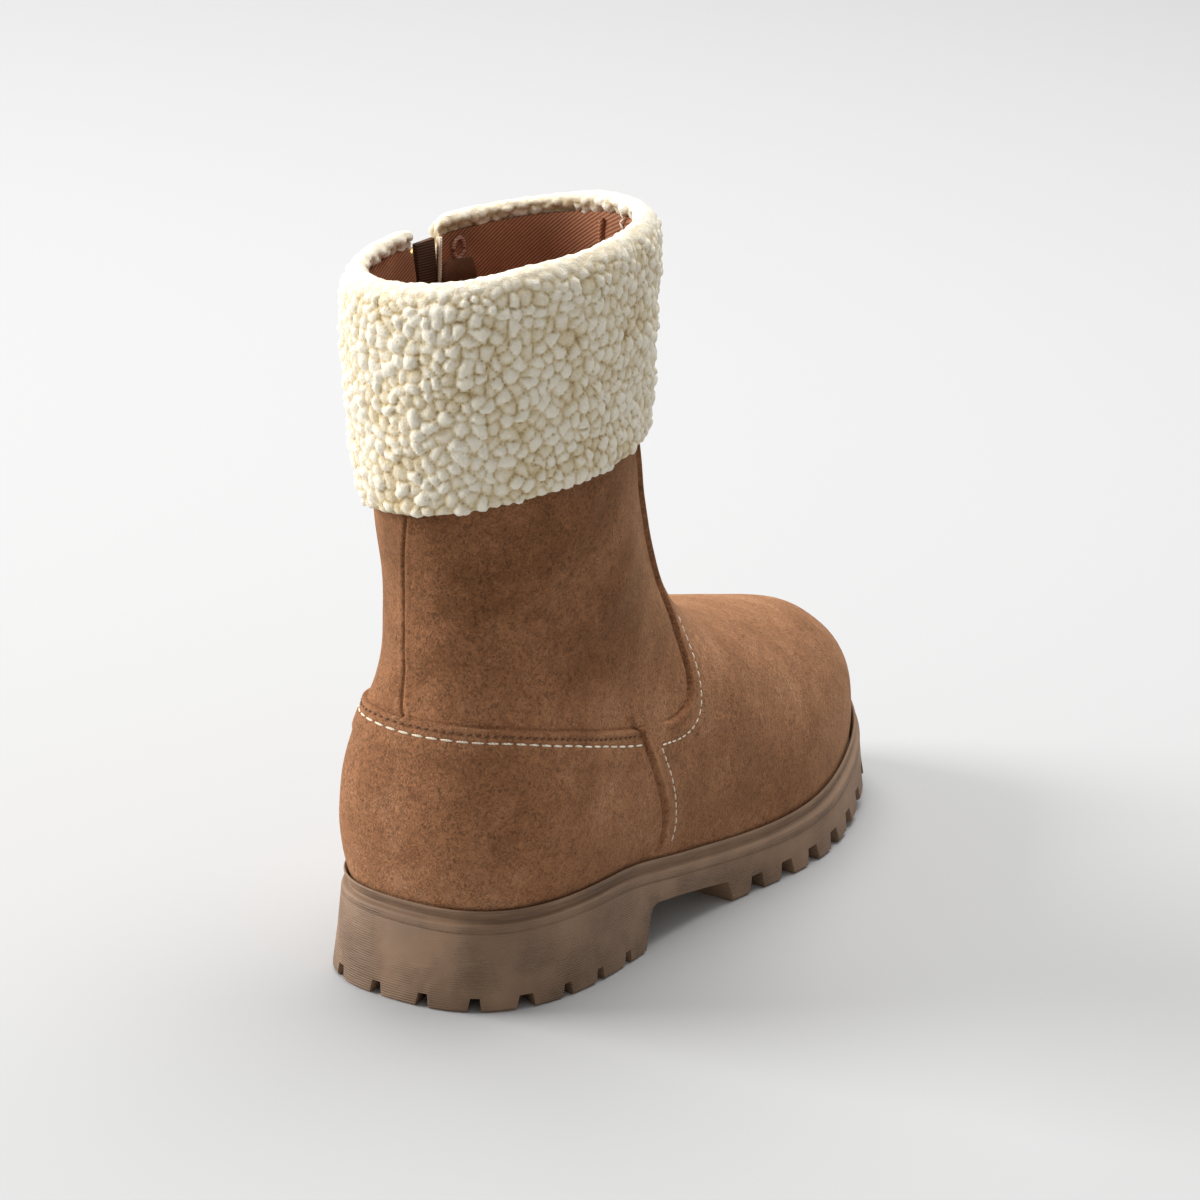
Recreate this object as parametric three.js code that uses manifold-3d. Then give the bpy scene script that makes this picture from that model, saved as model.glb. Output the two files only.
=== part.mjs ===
// A right sheepskin boot: suede upper with a side zip, folded sheepskin cuff, welt and lugged sole.
// Millimetres. +X is the outer (lateral) side, +Y the toe, +Z up; the sole stands on z = 0.
import * as THREE from 'three';
import { mergeVertices } from 'three/addons/utils/BufferGeometryUtils.js';
import Module from 'manifold-3d';

const wasm = await Module();
wasm.setup();

// ---------------------------------------------------------------- driving sizes
const SOLE_LENGTH = 273.5;
const GAP = 0.3;
const WALL = 2.8;
const WELT_THICKNESS = 3.3;
const WELT_WIDTH = 5;
const BEAD_HEIGHT = 4;
const INSOLE_THICKNESS = 4;
const SOLE_FLARE = { heel: 2, waist: 0.5, forefoot: 2.4 };
const CUFF_LENGTH = 71;
const CUFF_THICKNESS = 6;
const ZIP_OPENING = 9;
const CUFF_SPLIT = 15;
const ZIP_BOTTOM_LEVEL = 5.4;
const ZIP_Y = { top: 71, bottom: 84 };

// The sole's outline: half its width and the middle of it, along the foot.
const SOLE_PLAN = [
  { y: 0, half: 59, middle: -1.5 },
  { y: 40, half: 48.5, middle: 3 },
  { y: 85, half: 39.5, middle: 6 },
  { y: 135, half: 42.5, middle: 4.5 },
  { y: 190, half: 56, middle: 2 },
  { y: 235, half: 68.5, middle: -1.5 },
  { y: 273.5, half: 84.5, middle: -1 },
];
const HEEL_ROUNDNESS = 2.6;
const TOE_ROUNDNESS = 1.7;

// Heights of the welt's upper edge and of the tread along the foot.
const SOLE_SIDE = [
  { y: 0, top: 30.7, tread: 0 },
  { y: 66, top: 30.2, tread: 0 },
  { y: 106, top: 23.4, tread: 0 },
  { y: 150, top: 18, tread: 0 },
  { y: 196, top: 17.6, tread: 0 },
  { y: 236, top: 22, tread: 3.2 },
  { y: 273.5, top: 31, tread: 11 },
];

// The upper's sections, from the feather edge up to the collar. Each leans from its back point to
// its front point. heel, waist and ball scale the sole's half widths; follow is how much of the
// sole's side curve the section keeps; round turns the foot's plan into an oval of the given half
// width; shift moves the section sideways.
const UPPER_SECTIONS = [
  { backY: 5, backZ: 27.4, frontY: 268.5, frontZ: 27.7, scale: 1, ball: 1, follow: 1, round: 0, oval: 40, shift: 0 },
  { backY: 1.5, backZ: 37, frontY: 270.5, frontZ: 38, scale: 1.1, ball: 1.01, follow: 1, round: 0, oval: 40, shift: 0 },
  { backY: -1.5, backZ: 54, frontY: 266.5, frontZ: 53, scale: 1.13, ball: 0.98, follow: 0.8, round: 0, oval: 40, shift: 0 },
  { backY: -1.5, backZ: 72, frontY: 245, frontZ: 68, scale: 1.1, ball: 0.87, follow: 0.5, round: 0.1, oval: 40, shift: -0.5 },
  { backY: 0, backZ: 89, frontY: 206, frontZ: 78, scale: 1.03, ball: 0.84, follow: 0.2, round: 0.4, oval: 39, shift: -1 },
  { backY: 6.5, backZ: 106, frontY: 162, frontZ: 90.5, scale: 0.96, ball: 0.86, follow: 0, round: 0.8, oval: 37.5, shift: -1.5 },
  { backY: 10, backZ: 130, frontY: 131, frontZ: 114, scale: 1, ball: 1, follow: 0, round: 1, oval: 37.5, shift: -2 },
  { backY: 7.5, backZ: 158, frontY: 118.5, frontZ: 149, scale: 1, ball: 1, follow: 0, round: 1, oval: 37.7, shift: -4 },
  { backY: 4.5, backZ: 187, frontY: 111.5, frontZ: 186, scale: 1, ball: 1, follow: 0, round: 1, oval: 38.5, shift: -5.5 },
  { backY: 3, backZ: 235, frontY: 109, frontZ: 241, scale: 1, ball: 1, follow: 0, round: 1, oval: 41.5, shift: -7 },
];
const COLLAR_LEVEL = UPPER_SECTIONS.length - 1;
const COLLAR_TILT = 0.18;

// ---------------------------------------------------------------- small helpers
// The value of one named column of a table at a place along it, on a smooth curve through its rows.
function smooth(rows, key, column, at) {
  const last = rows.length - 1;
  const place = (i) => (key === null ? i : rows[i][key]);
  const slope = (i) => {
    const a = Math.max(i - 1, 0);
    const b = Math.min(i + 1, last);
    return (rows[b][column] - rows[a][column]) / (place(b) - place(a));
  };
  let i = 0;
  while (i < last - 1 && at > place(i + 1)) i += 1;
  const span = place(i + 1) - place(i);
  const t = (at - place(i)) / span;
  const t2 = t * t;
  const t3 = t2 * t;
  return (2 * t3 - 3 * t2 + 1) * rows[i][column] + (t3 - 2 * t2 + t) * span * slope(i)
    + (3 * t2 - 2 * t3) * rows[i + 1][column] + (t3 - t2) * span * slope(i + 1);
}

const mix = THREE.MathUtils.lerp;
const soleTop = (y) => smooth(SOLE_SIDE, 'y', 'top', y);
const soleTread = (y) => Math.max(0, smooth(SOLE_SIDE, 'y', 'tread', y));
const outsoleTop = (y) => soleTop(y) - WELT_THICKNESS - GAP;

// How far a section has rounded in at a fraction of its length: 0 at its ends, 1 in the middle.
function endRounding(along, roundness) {
  return Math.max(0, 1 - Math.abs(2 * along - 1) ** roundness) ** (1 / roundness);
}

// A turn goes round a section from the back of the heel, forward on the outer side and back on the
// inner side. Its place along the section runs from 0 at the back to 1 at the front.
const alongOf = (turn) => (1 - Math.cos(turn)) / 2;
const sideOf = (turn) => (Math.sin(turn) >= 0 ? 1 : -1);

// The turn at which the sole's edge reaches a place along the foot, on the outer side.
const turnAt = (y) => Math.acos(1 - (2 * y) / SOLE_LENGTH);

function solePoint(turn, inset, height) {
  const along = alongOf(turn);
  const y = along * SOLE_LENGTH;
  const rounded = endRounding(along, along < 0.5 ? HEEL_ROUNDNESS : TOE_ROUNDNESS);
  const half = smooth(SOLE_PLAN, 'y', 'half', y) * rounded;
  const middle = smooth(SOLE_PLAN, 'y', 'middle', y);
  const x = middle + sideOf(turn) * half;
  if (inset === 0) return new THREE.Vector3(x, y, height);
  const step = 0.02;
  const before = solePoint(turn - step, 0, 0);
  const after = solePoint(turn + step, 0, 0);
  const inward = new THREE.Vector2(before.y - after.y, after.x - before.x);
  inward.normalize().multiplyScalar(inset);
  return new THREE.Vector3(x + inward.x, y + inward.y, height);
}

// A point of the upper's outer face at a level (a row of the table, or between two) and a turn.
function upperPoint(level, turn) {
  const row = (column) => smooth(UPPER_SECTIONS, null, column, level);
  const along = alongOf(turn);
  const y = mix(row('backY'), row('frontY'), along);
  const planY = along * SOLE_LENGTH;
  const rounded = endRounding(along, along < 0.5 ? HEEL_ROUNDNESS : TOE_ROUNDNESS);
  const footWidth = (smooth(SOLE_PLAN, 'y', 'half', planY) * rounded) - WELT_WIDTH * rounded;
  const scaled = footWidth * mix(row('scale'), row('ball'), THREE.MathUtils.smoothstep(along, 0.35, 0.8));
  const oval = row('oval') * Math.abs(Math.sin(turn));
  const half = mix(scaled, oval, row('round'));
  const middle = smooth(SOLE_PLAN, 'y', 'middle', planY) * (1 - row('round')) + row('shift');
  const chord = mix(soleTop(0), soleTop(SOLE_LENGTH), along);
  const x = middle + sideOf(turn) * half;
  const tilt = COLLAR_TILT * THREE.MathUtils.smoothstep(level, 6, COLLAR_LEVEL) * (x - row('shift'));
  const z = mix(row('backZ'), row('frontZ'), along) + row('follow') * (soleTop(planY) - chord) + tilt;
  return new THREE.Vector3(x, y, z);
}

// The same surface moved along its own normal: out when the distance is positive, in when negative.
function upperOffset(level, turn, distance) {
  const point = upperPoint(level, turn);
  if (distance === 0) return point;
  const step = 0.02;
  const low = Math.max(0, level - step);
  const high = Math.min(COLLAR_LEVEL, level + step);
  const up = upperPoint(high, turn).sub(upperPoint(low, turn));
  const round = upperPoint(level, turn + step).sub(upperPoint(level, turn - step));
  return point.add(round.cross(up).normalize().multiplyScalar(distance));
}

// Where the zip runs: the turn, on the inner side, at which a section reaches the zip's line.
function zipTurn(level, offset) {
  const row = (column) => smooth(UPPER_SECTIONS, null, column, level);
  const raised = (level - ZIP_BOTTOM_LEVEL) / (COLLAR_LEVEL - ZIP_BOTTOM_LEVEL);
  const y = mix(ZIP_Y.bottom, ZIP_Y.top, raised) + offset;
  const along = (y - row('backY')) / (row('frontY') - row('backY'));
  return 2 * Math.PI - Math.acos(1 - 2 * along);
}

// A closed body from points in rings or rows: quads are added by their corners' numbers.
class Body {
  constructor() {
    this.places = [];
    this.faces = [];
  }

  add(point) {
    this.places.push(point.x, point.y, point.z);
    return this.places.length / 3 - 1;
  }

  triangle(a, b, c) {
    this.faces.push(a, b, c);
  }

  quad(a, b, c, d) {
    this.triangle(a, b, c);
    this.triangle(a, c, d);
  }

  geometry() {
    const made = new THREE.BufferGeometry();
    made.setAttribute('position', new THREE.Float32BufferAttribute(this.places, 3));
    made.setIndex(this.faces);
    made.computeVertexNormals();
    return made;
  }
}

// A body of stacked rings that share their number of points, closed across the first and the last
// ring by rungs that join the outer side to the inner side at the same place along the foot.
function stackedBody(rings) {
  const body = new Body();
  const count = rings[0].length;
  const numbers = rings.map((ring) => ring.map((point) => body.add(point)));
  for (let k = 0; k + 1 < rings.length; k += 1) {
    for (let i = 0; i < count; i += 1) {
      const j = (i + 1) % count;
      body.quad(numbers[k][i], numbers[k][j], numbers[k + 1][j], numbers[k + 1][i]);
    }
  }
  const rungs = (ring, upward) => {
    for (let i = 0; i < count / 2; i += 1) {
      const corners = [ring[i], ring[i + 1], ring[(count - i - 1) % count], ring[(count - i) % count]];
      const flat = corners.filter((n, k) => corners.indexOf(n) === k);
      if (!upward) flat.reverse();
      body.triangle(flat[0], flat[1], flat[2]);
      if (flat.length === 4) body.triangle(flat[0], flat[2], flat[3]);
    }
  };
  rungs(numbers[0], false);
  rungs(numbers[rings.length - 1], true);
  return body.geometry();
}

// A closed band: each turn has a closed section of points, swept round and, when split, capped.
function sweptBand(sections, split) {
  const body = new Body();
  const numbers = sections.map((section) => section.map((point) => body.add(point)));
  const count = sections[0].length;
  const joins = split ? sections.length - 1 : sections.length;
  for (let k = 0; k < joins; k += 1) {
    const here = numbers[k];
    const next = numbers[(k + 1) % sections.length];
    for (let i = 0; i < count; i += 1) {
      const j = (i + 1) % count;
      body.quad(here[i], next[i], next[j], here[j]);
    }
  }
  if (split) {
    const outline = (section) => {
      const middle = section.reduce((sum, p) => sum.add(p), new THREE.Vector3()).divideScalar(count);
      const across = section[1].clone().sub(section[0]).normalize();
      const normal = new THREE.Vector3();
      section.forEach((p, i) => {
        const q = section[(i + 1) % count];
        normal.add(p.clone().sub(middle).cross(q.clone().sub(middle)));
      });
      const upward = normal.normalize().clone().cross(across);
      return section.map((p) => {
        const from = p.clone().sub(middle);
        return new THREE.Vector2(from.dot(across), from.dot(upward));
      });
    };
    const first = THREE.ShapeUtils.triangulateShape(outline(sections[0]), []);
    first.forEach(([a, b, c]) => body.triangle(numbers[0][a], numbers[0][b], numbers[0][c]));
    const last = sections.length - 1;
    const ending = THREE.ShapeUtils.triangulateShape(outline(sections[last]), []);
    ending.forEach(([a, b, c]) => body.triangle(numbers[last][a], numbers[last][c], numbers[last][b]));
  }
  return body.geometry();
}

const toSolid = (geometry) => {
  const bare = geometry.clone();
  bare.deleteAttribute('normal');
  bare.deleteAttribute('uv');
  const merged = mergeVertices(bare, 1e-4);
  return new wasm.Manifold(new wasm.Mesh({
    numProp: 3,
    vertProperties: new Float32Array(merged.attributes.position.array),
    triVerts: new Uint32Array(merged.index.array),
  }));
};

const toGeometry = (solid) => {
  const mesh = solid.getMesh();
  const made = new THREE.BufferGeometry();
  made.setAttribute('position', new THREE.Float32BufferAttribute(mesh.vertProperties, 3));
  made.setIndex(Array.from(mesh.triVerts));
  made.computeVertexNormals();
  return made;
};

const turns = (count) => Array.from({ length: count }, (_, i) => (2 * Math.PI * i) / count);

// ---------------------------------------------------------------- outsole
const SOLE_POINTS = 96;
const HEEL_BREAST = { y: 80, topY: 85, height: 15.2 };
const ARCH_FRONT = { y: 133, lowerY: 136.5, height: 8.2 };
const FIRST_SLOTS = { heelY: 68.6, foreY: 148.8 };
const WIDE_HEEL_SLOT = 3;
const LUG_PITCH = 16.8;
const LUG_SLOT = { heelWidth: 5, foreWidth: 9, taper: 0.62, heelHeight: 5, foreHeight: 6.2, reach: 15 };

const CHANNEL = { inset: 13.5, width: 4 };
const TREAD_BARS = [
  { y: 160, lean: -0.2 },
  { y: 178, lean: 0.2 },
  { y: 196, lean: -0.2 },
  { y: 214, lean: 0.2 },
  { y: 231, lean: -0.2 },
];

function outsoleBlank() {
  const flare = (y) => mix(
    mix(SOLE_FLARE.heel, SOLE_FLARE.waist, THREE.MathUtils.smoothstep(y, 70, 120)),
    SOLE_FLARE.forefoot,
    THREE.MathUtils.smoothstep(y, 125, 190),
  );
  const ring = (outward, heightAt) => turns(SOLE_POINTS).map((turn) => {
    const y = alongOf(turn) * SOLE_LENGTH;
    const point = solePoint(turn, -outward(y), 0);
    point.z = heightAt(THREE.MathUtils.clamp(point.y, 0, SOLE_LENGTH));
    return point;
  });
  return stackedBody([
    ring((y) => flare(y) - 0.8, soleTread),
    ring(flare, (y) => soleTread(y) + 1),
    ring((y) => flare(y) * 0.45, (y) => mix(soleTread(y), outsoleTop(y), 0.5)),
    ring(() => 0.2, (y) => outsoleTop(y) - 0.8),
    ring(() => -0.4, outsoleTop),
  ]);
}

// The hollow under the arch, between the heel's breast and the first lug of the forefoot.
function archCutter() {
  const shape = new THREE.Shape();
  shape.moveTo(HEEL_BREAST.y, -1);
  shape.lineTo(HEEL_BREAST.topY - 0.6, HEEL_BREAST.height - 3);
  shape.quadraticCurveTo(HEEL_BREAST.topY, HEEL_BREAST.height, HEEL_BREAST.topY + 4, HEEL_BREAST.height);
  shape.lineTo(ARCH_FRONT.y, ARCH_FRONT.height);
  shape.lineTo(ARCH_FRONT.lowerY, -1);
  shape.closePath();
  const cutter = new THREE.ExtrudeGeometry(shape, { depth: 140, bevelEnabled: false, curveSegments: 4 });
  cutter.rotateX(Math.PI / 2);
  cutter.rotateZ(Math.PI / 2);
  cutter.translate(-70, 0, 0);
  return cutter;
}

// A tapered slot, wider at the tread, that cuts in from the sole's edge at one turn.
function slotCutter(turn, width, height, reach) {
  const below = 3;
  const outside = 6;
  const mouth = width / 2 + 0.4;
  const shape = new THREE.Shape();
  shape.moveTo(-mouth, -below);
  shape.lineTo(mouth, -below);
  shape.lineTo((width / 2) * LUG_SLOT.taper, height);
  shape.lineTo((-width / 2) * LUG_SLOT.taper, height);
  shape.closePath();
  const cutter = new THREE.ExtrudeGeometry(shape, { depth: reach + outside, bevelEnabled: false });
  const edge = solePoint(turn, 0, 0);
  const inner = solePoint(turn, 10, 0).sub(edge).normalize();
  const frame = new THREE.Matrix4().makeBasis(
    new THREE.Vector3(inner.y, -inner.x, 0).negate(),
    new THREE.Vector3(0, 0, 1),
    inner,
  );
  frame.setPosition(edge.addScaledVector(inner, -outside).setZ(soleTread(edge.y)));
  if (frame.determinant() < 0) throw new Error('slot frame is mirrored');
  cutter.applyMatrix4(frame);
  return cutter;
}

// Turns spaced evenly by distance round the sole's edge, between two turns.
function edgeTurns(fromTurn, toTurn, pitch) {
  const found = [];
  const steps = 600;
  let walked = 0;
  let last = solePoint(fromTurn, 0, 0);
  for (let i = 1; i <= steps; i += 1) {
    const turn = mix(fromTurn, toTurn, i / steps);
    const point = solePoint(turn, 0, 0);
    walked += point.distanceTo(last);
    last = point;
    if (walked >= pitch) {
      found.push(turn);
      walked -= pitch;
    }
  }
  return found;
}

// The tread's inner channels: a ring inside the edge lugs, and bars across the middle.
function channelCutter(fromY, toY, inset, width, height) {
  const ring = (depth, below) => toSolid(stackedBody([-below, height].map((z) => (
    turns(SOLE_POINTS).map((turn) => {
      const point = solePoint(turn, depth, 0);
      point.z = soleTread(THREE.MathUtils.clamp(point.y, 0, SOLE_LENGTH)) + z;
      return point;
    })))));
  const stretch = new THREE.BoxGeometry(200, toY - fromY, 60);
  stretch.translate(0, (fromY + toY) / 2, 0);
  return ring(inset, 3).subtract(ring(inset + width, 4)).intersect(toSolid(stretch));
}

function barCutter(y, lean, width, height, inset) {
  const inner = solePoint(-turnAt(y), inset, 0).x;
  const outer = solePoint(turnAt(y), inset, 0).x;
  const bar = new THREE.BoxGeometry(outer - inner, width, height + 3);
  bar.rotateZ(lean);
  bar.translate((outer + inner) / 2, y, soleTread(y) + (height - 3) / 2);
  return bar;
}

function makeOutsole() {
  let solid = toSolid(outsoleBlank());
  const cutters = [toSolid(archCutter())];
  const heelStart = turnAt(FIRST_SLOTS.heelY + LUG_PITCH);
  const foreStart = turnAt(FIRST_SLOTS.foreY - LUG_PITCH);
  const heelTurns = edgeTurns(heelStart, -turnAt(HEEL_BREAST.y - 6), LUG_PITCH);
  const toeTurns = edgeTurns(foreStart, 2 * Math.PI - turnAt(ARCH_FRONT.lowerY + 7), LUG_PITCH);
  heelTurns.forEach((turn, i) => {
    const width = i === WIDE_HEEL_SLOT ? LUG_SLOT.heelWidth * 1.6 : LUG_SLOT.heelWidth;
    cutters.push(toSolid(slotCutter(turn, width, LUG_SLOT.heelHeight, LUG_SLOT.reach)));
  });
  toeTurns.forEach((turn) => {
    cutters.push(toSolid(slotCutter(turn, LUG_SLOT.foreWidth, LUG_SLOT.foreHeight, LUG_SLOT.reach)));
  });
  const heelChannel = LUG_SLOT.heelHeight - 0.9;
  const foreChannel = LUG_SLOT.foreHeight - 1.3;
  cutters.push(channelCutter(0, HEEL_BREAST.y - 5.3, CHANNEL.inset, CHANNEL.width, heelChannel));
  cutters.push(channelCutter(ARCH_FRONT.lowerY + 4.3, SOLE_LENGTH, CHANNEL.inset, CHANNEL.width, foreChannel));
  TREAD_BARS.forEach(({ y, lean }) => {
    cutters.push(toSolid(barCutter(y, lean, CHANNEL.width + 1, foreChannel, CHANNEL.inset + 2.1)));
  });
  cutters.forEach((cutter) => {
    solid = solid.subtract(cutter);
  });
  const [largest] = solid.decompose().sort((a, b) => b.volume() - a.volume());
  return toGeometry(largest.simplify(0.01));
}

// ---------------------------------------------------------------- welt
const WELT_POINTS = 80;
const WELT_GAP = 0.55;

// The welt's section at one turn: a flange out to the sole's edge and a bead against the upper.
function makeWelt() {
  const sections = turns(WELT_POINTS).map((turn) => {
    const outer = (inset, height) => {
      const point = solePoint(turn, inset, 0);
      point.z = outsoleTop(THREE.MathUtils.clamp(point.y, 0, SOLE_LENGTH)) + GAP + height;
      return point;
    };
    const besideUpper = (distance, height) => {
      const foot = upperOffset(0, turn, 0);
      const level = height / (upperPoint(1, turn).z - foot.z);
      const point = upperOffset(Math.max(0, level), turn, distance);
      point.z = outsoleTop(THREE.MathUtils.clamp(point.y, 0, SOLE_LENGTH)) + GAP + height;
      return point;
    };
    return [
      outer(0, 0),
      outer(-0.4, 0.8),
      outer(-0.1, WELT_THICKNESS - 0.4),
      outer(0.5, WELT_THICKNESS),
      outer(2.9, WELT_THICKNESS + 0.6),
      besideUpper(2.2, WELT_THICKNESS + BEAD_HEIGHT * 0.55),
      besideUpper(1.5, WELT_THICKNESS + BEAD_HEIGHT * 0.92),
      besideUpper(WELT_GAP, WELT_THICKNESS + BEAD_HEIGHT),
      besideUpper(WELT_GAP, WELT_THICKNESS / 2),
      besideUpper(WELT_GAP, 0),
    ];
  });
  return sweptBand(sections, false);
}

// ---------------------------------------------------------------- insole
const INSOLE_POINTS = 48;
const INSOLE_GAP = 0.9;

function makeInsole() {
  const ring = (level, distance, height) => turns(INSOLE_POINTS).map((turn) => {
    const point = upperOffset(level, turn, -(WALL + distance));
    point.z = outsoleTop(THREE.MathUtils.clamp(point.y, 0, SOLE_LENGTH)) + GAP + height;
    return point;
  });
  return stackedBody([
    ring(0.01, INSOLE_GAP, 0),
    ring(0.2, INSOLE_GAP, INSOLE_THICKNESS - 0.8),
    ring(0.3, INSOLE_GAP + 0.8, INSOLE_THICKNESS),
  ]);
}

// ---------------------------------------------------------------- upper
const OUTER_COLUMNS = 26;
const INNER_FRONT_COLUMNS = 11;
const INNER_BACK_COLUMNS = 14;
const UPPER_LEVELS = [
  0, 0.45, 1, 1.5, 2, 2.4, 2.8, 3.2, 3.6, 4, 4.4, 4.75, 5.1, ZIP_BOTTOM_LEVEL, 5.9, 6.4, 6.9, 7.5, 8.1, 8.6,
  COLLAR_LEVEL,
];

// The turns of one section's columns. One column is always as wide as the zip's opening.
function upperColumns(level) {
  const zipLevel = Math.max(level, 3);
  const zipFront = zipTurn(zipLevel, ZIP_OPENING / 2);
  const zipBack = zipTurn(zipLevel, -ZIP_OPENING / 2);
  const found = [];
  for (let i = 0; i < OUTER_COLUMNS; i += 1) found.push((Math.PI * i) / OUTER_COLUMNS);
  for (let i = 0; i < INNER_FRONT_COLUMNS; i += 1) {
    found.push(mix(Math.PI, zipFront, i / INNER_FRONT_COLUMNS));
  }
  found.push(zipFront);
  for (let i = 0; i < INNER_BACK_COLUMNS; i += 1) {
    found.push(mix(zipBack, 2 * Math.PI, i / INNER_BACK_COLUMNS));
  }
  return found;
}
const ZIP_COLUMN = OUTER_COLUMNS + INNER_FRONT_COLUMNS;

function makeUpper() {
  const body = new Body();
  const face = (distance) => UPPER_LEVELS.map((level) => upperColumns(level).map((turn) => {
    const point = upperOffset(level, turn, distance);
    if (level === 0) point.z = outsoleTop(THREE.MathUtils.clamp(point.y, 0, SOLE_LENGTH)) + GAP;
    return body.add(point);
  }));
  const outer = face(0);
  const inner = face(-WALL);
  const count = outer[0].length;
  const zipStart = UPPER_LEVELS.indexOf(ZIP_BOTTOM_LEVEL);
  const top = UPPER_LEVELS.length - 1;
  for (let k = 0; k < top; k += 1) {
    for (let i = 0; i < count; i += 1) {
      const j = (i + 1) % count;
      if (i !== ZIP_COLUMN || k < zipStart) {
        body.quad(outer[k][i], outer[k][j], outer[k + 1][j], outer[k + 1][i]);
        body.quad(inner[k][j], inner[k][i], inner[k + 1][i], inner[k + 1][j]);
      } else {
        body.quad(outer[k][i], inner[k][i], inner[k + 1][i], outer[k + 1][i]);
        body.quad(inner[k][j], outer[k][j], outer[k + 1][j], inner[k + 1][j]);
      }
    }
  }
  for (let i = 0; i < count; i += 1) {
    const j = (i + 1) % count;
    body.quad(outer[0][j], outer[0][i], inner[0][i], inner[0][j]);
    const rim = i === ZIP_COLUMN ? zipStart : top;
    body.quad(outer[rim][i], outer[rim][j], inner[rim][j], inner[rim][i]);
  }
  return body.geometry();
}

// ---------------------------------------------------------------- cuff
const CUFF_POINTS = 44;
const CUFF_GAP = 0.6;

// The level on the upper that lies a given distance below the collar, at a turn.
function levelBelowCollar(turn, distance) {
  const steps = 80;
  let walked = 0;
  let last = upperPoint(COLLAR_LEVEL, turn);
  for (let i = 1; i <= steps; i += 1) {
    const level = COLLAR_LEVEL - (4 * i) / steps;
    const point = upperPoint(level, turn);
    const stride = point.distanceTo(last);
    if (walked + stride >= distance) return level + ((walked + stride - distance) / stride) * (4 / steps);
    walked += stride;
    last = point;
  }
  throw new Error('the cuff reaches past the shaft');
}

// The folded cuff's section: out = distance from the upper's outer face, down = below the collar.
const CUFF_SECTION = [
  { out: CUFF_GAP, down: CUFF_LENGTH - 1 },
  { out: CUFF_THICKNESS * 0.4, down: CUFF_LENGTH + 0.6 },
  { out: CUFF_THICKNESS * 0.7, down: CUFF_LENGTH },
  { out: CUFF_THICKNESS * 0.78, down: CUFF_LENGTH - 3 },
  { out: CUFF_THICKNESS * 0.95, down: CUFF_LENGTH * 0.66 },
  { out: CUFF_THICKNESS * 1.08, down: CUFF_LENGTH * 0.33 },
  { out: CUFF_THICKNESS * 1.1, down: 4 },
  { out: CUFF_THICKNESS * 0.75, down: -2.4 },
  { out: 1.4, down: -5.2 },
  { out: -1.8, down: -5 },
  { out: -3.4, down: -2.6 },
  { out: -WALL, down: -CUFF_GAP },
  { out: CUFF_GAP, down: -CUFF_GAP },
  { out: CUFF_GAP, down: CUFF_LENGTH * 0.33 },
  { out: CUFF_GAP, down: CUFF_LENGTH * 0.66 },
];

function makeCuff() {
  const front = zipTurn(COLLAR_LEVEL, CUFF_SPLIT / 2) - 2 * Math.PI;
  const back = zipTurn(COLLAR_LEVEL, -CUFF_SPLIT / 2);
  const sections = [];
  for (let i = 0; i <= CUFF_POINTS; i += 1) {
    const t = i / CUFF_POINTS;
    sections.push(CUFF_SECTION.map(({ out, down }) => {
      const guess = mix(back - 2 * Math.PI, front + 2 * Math.PI, t);
      const level = levelBelowCollar(guess, Math.max(0, down));
      const start = zipTurn(level, -CUFF_SPLIT / 2) - 2 * Math.PI;
      const end = zipTurn(level, CUFF_SPLIT / 2);
      const turn = mix(start, end, t);
      const point = upperOffset(levelBelowCollar(turn, Math.max(0, down)), turn, out);
      point.z += Math.max(0, -down);
      return point;
    }));
  }
  return sweptBand(sections, true);
}

// ---------------------------------------------------------------- zip
const CHAIN_LEVELS = 14;
const CHAIN_DEPTH = { outer: -0.4, inner: -2.4 };

function makeZipChain() {
  const sections = [];
  for (let i = 0; i <= CHAIN_LEVELS; i += 1) {
    const low = ZIP_BOTTOM_LEVEL + 0.012;
    const level = mix(low, COLLAR_LEVEL - 0.02, i / CHAIN_LEVELS);
    const half = ZIP_OPENING / 2 - GAP;
    sections.push([
      upperOffset(level, zipTurn(level, -half), CHAIN_DEPTH.inner),
      upperOffset(level, zipTurn(level, -half), CHAIN_DEPTH.outer),
      upperOffset(level, zipTurn(level, half), CHAIN_DEPTH.outer),
      upperOffset(level, zipTurn(level, half), CHAIN_DEPTH.inner),
    ]);
  }
  return sweptBand(sections, true);
}

// The slider rides on the chain's outer face. Its frame: across the zip and level, up along the
// zip, and out from the boot. The pull tab hangs plumb from the slider's bridge.
const SLIDER_LEVEL = 8.83;
const SLIDER = { width: 7.6, length: 11, thickness: 2.6, back: 0 };
const BRIDGE = { width: 2, length: 6.8, height: 3, wall: 1.1 };
const PULL = { bar: 1.2, eyeWidth: 6.6, arm: 1.2, eyeLength: 6, width: 7, length: 24, thickness: 1.3 };

function zipFrame(level) {
  const turn = zipTurn(level, 0);
  const place = upperPoint(level, turn);
  const out = upperOffset(level, turn, 1).sub(place).normalize();
  const across = new THREE.Vector3(0, 0, 1).cross(out).normalize();
  const up = out.clone().cross(across);
  return { place, out, across, up };
}

function roundedOutline(halfWidth, top, bottom, radius) {
  const shape = new THREE.Shape();
  shape.moveTo(-halfWidth + radius, top);
  shape.lineTo(halfWidth - radius, top);
  shape.quadraticCurveTo(halfWidth, top, halfWidth, top - radius);
  shape.lineTo(halfWidth, bottom + radius);
  shape.quadraticCurveTo(halfWidth, bottom, halfWidth - radius, bottom);
  shape.lineTo(-halfWidth + radius, bottom);
  shape.quadraticCurveTo(-halfWidth, bottom, -halfWidth, bottom + radius);
  shape.lineTo(-halfWidth, top - radius);
  shape.quadraticCurveTo(-halfWidth, top, -halfWidth + radius, top);
  return shape;
}

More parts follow.
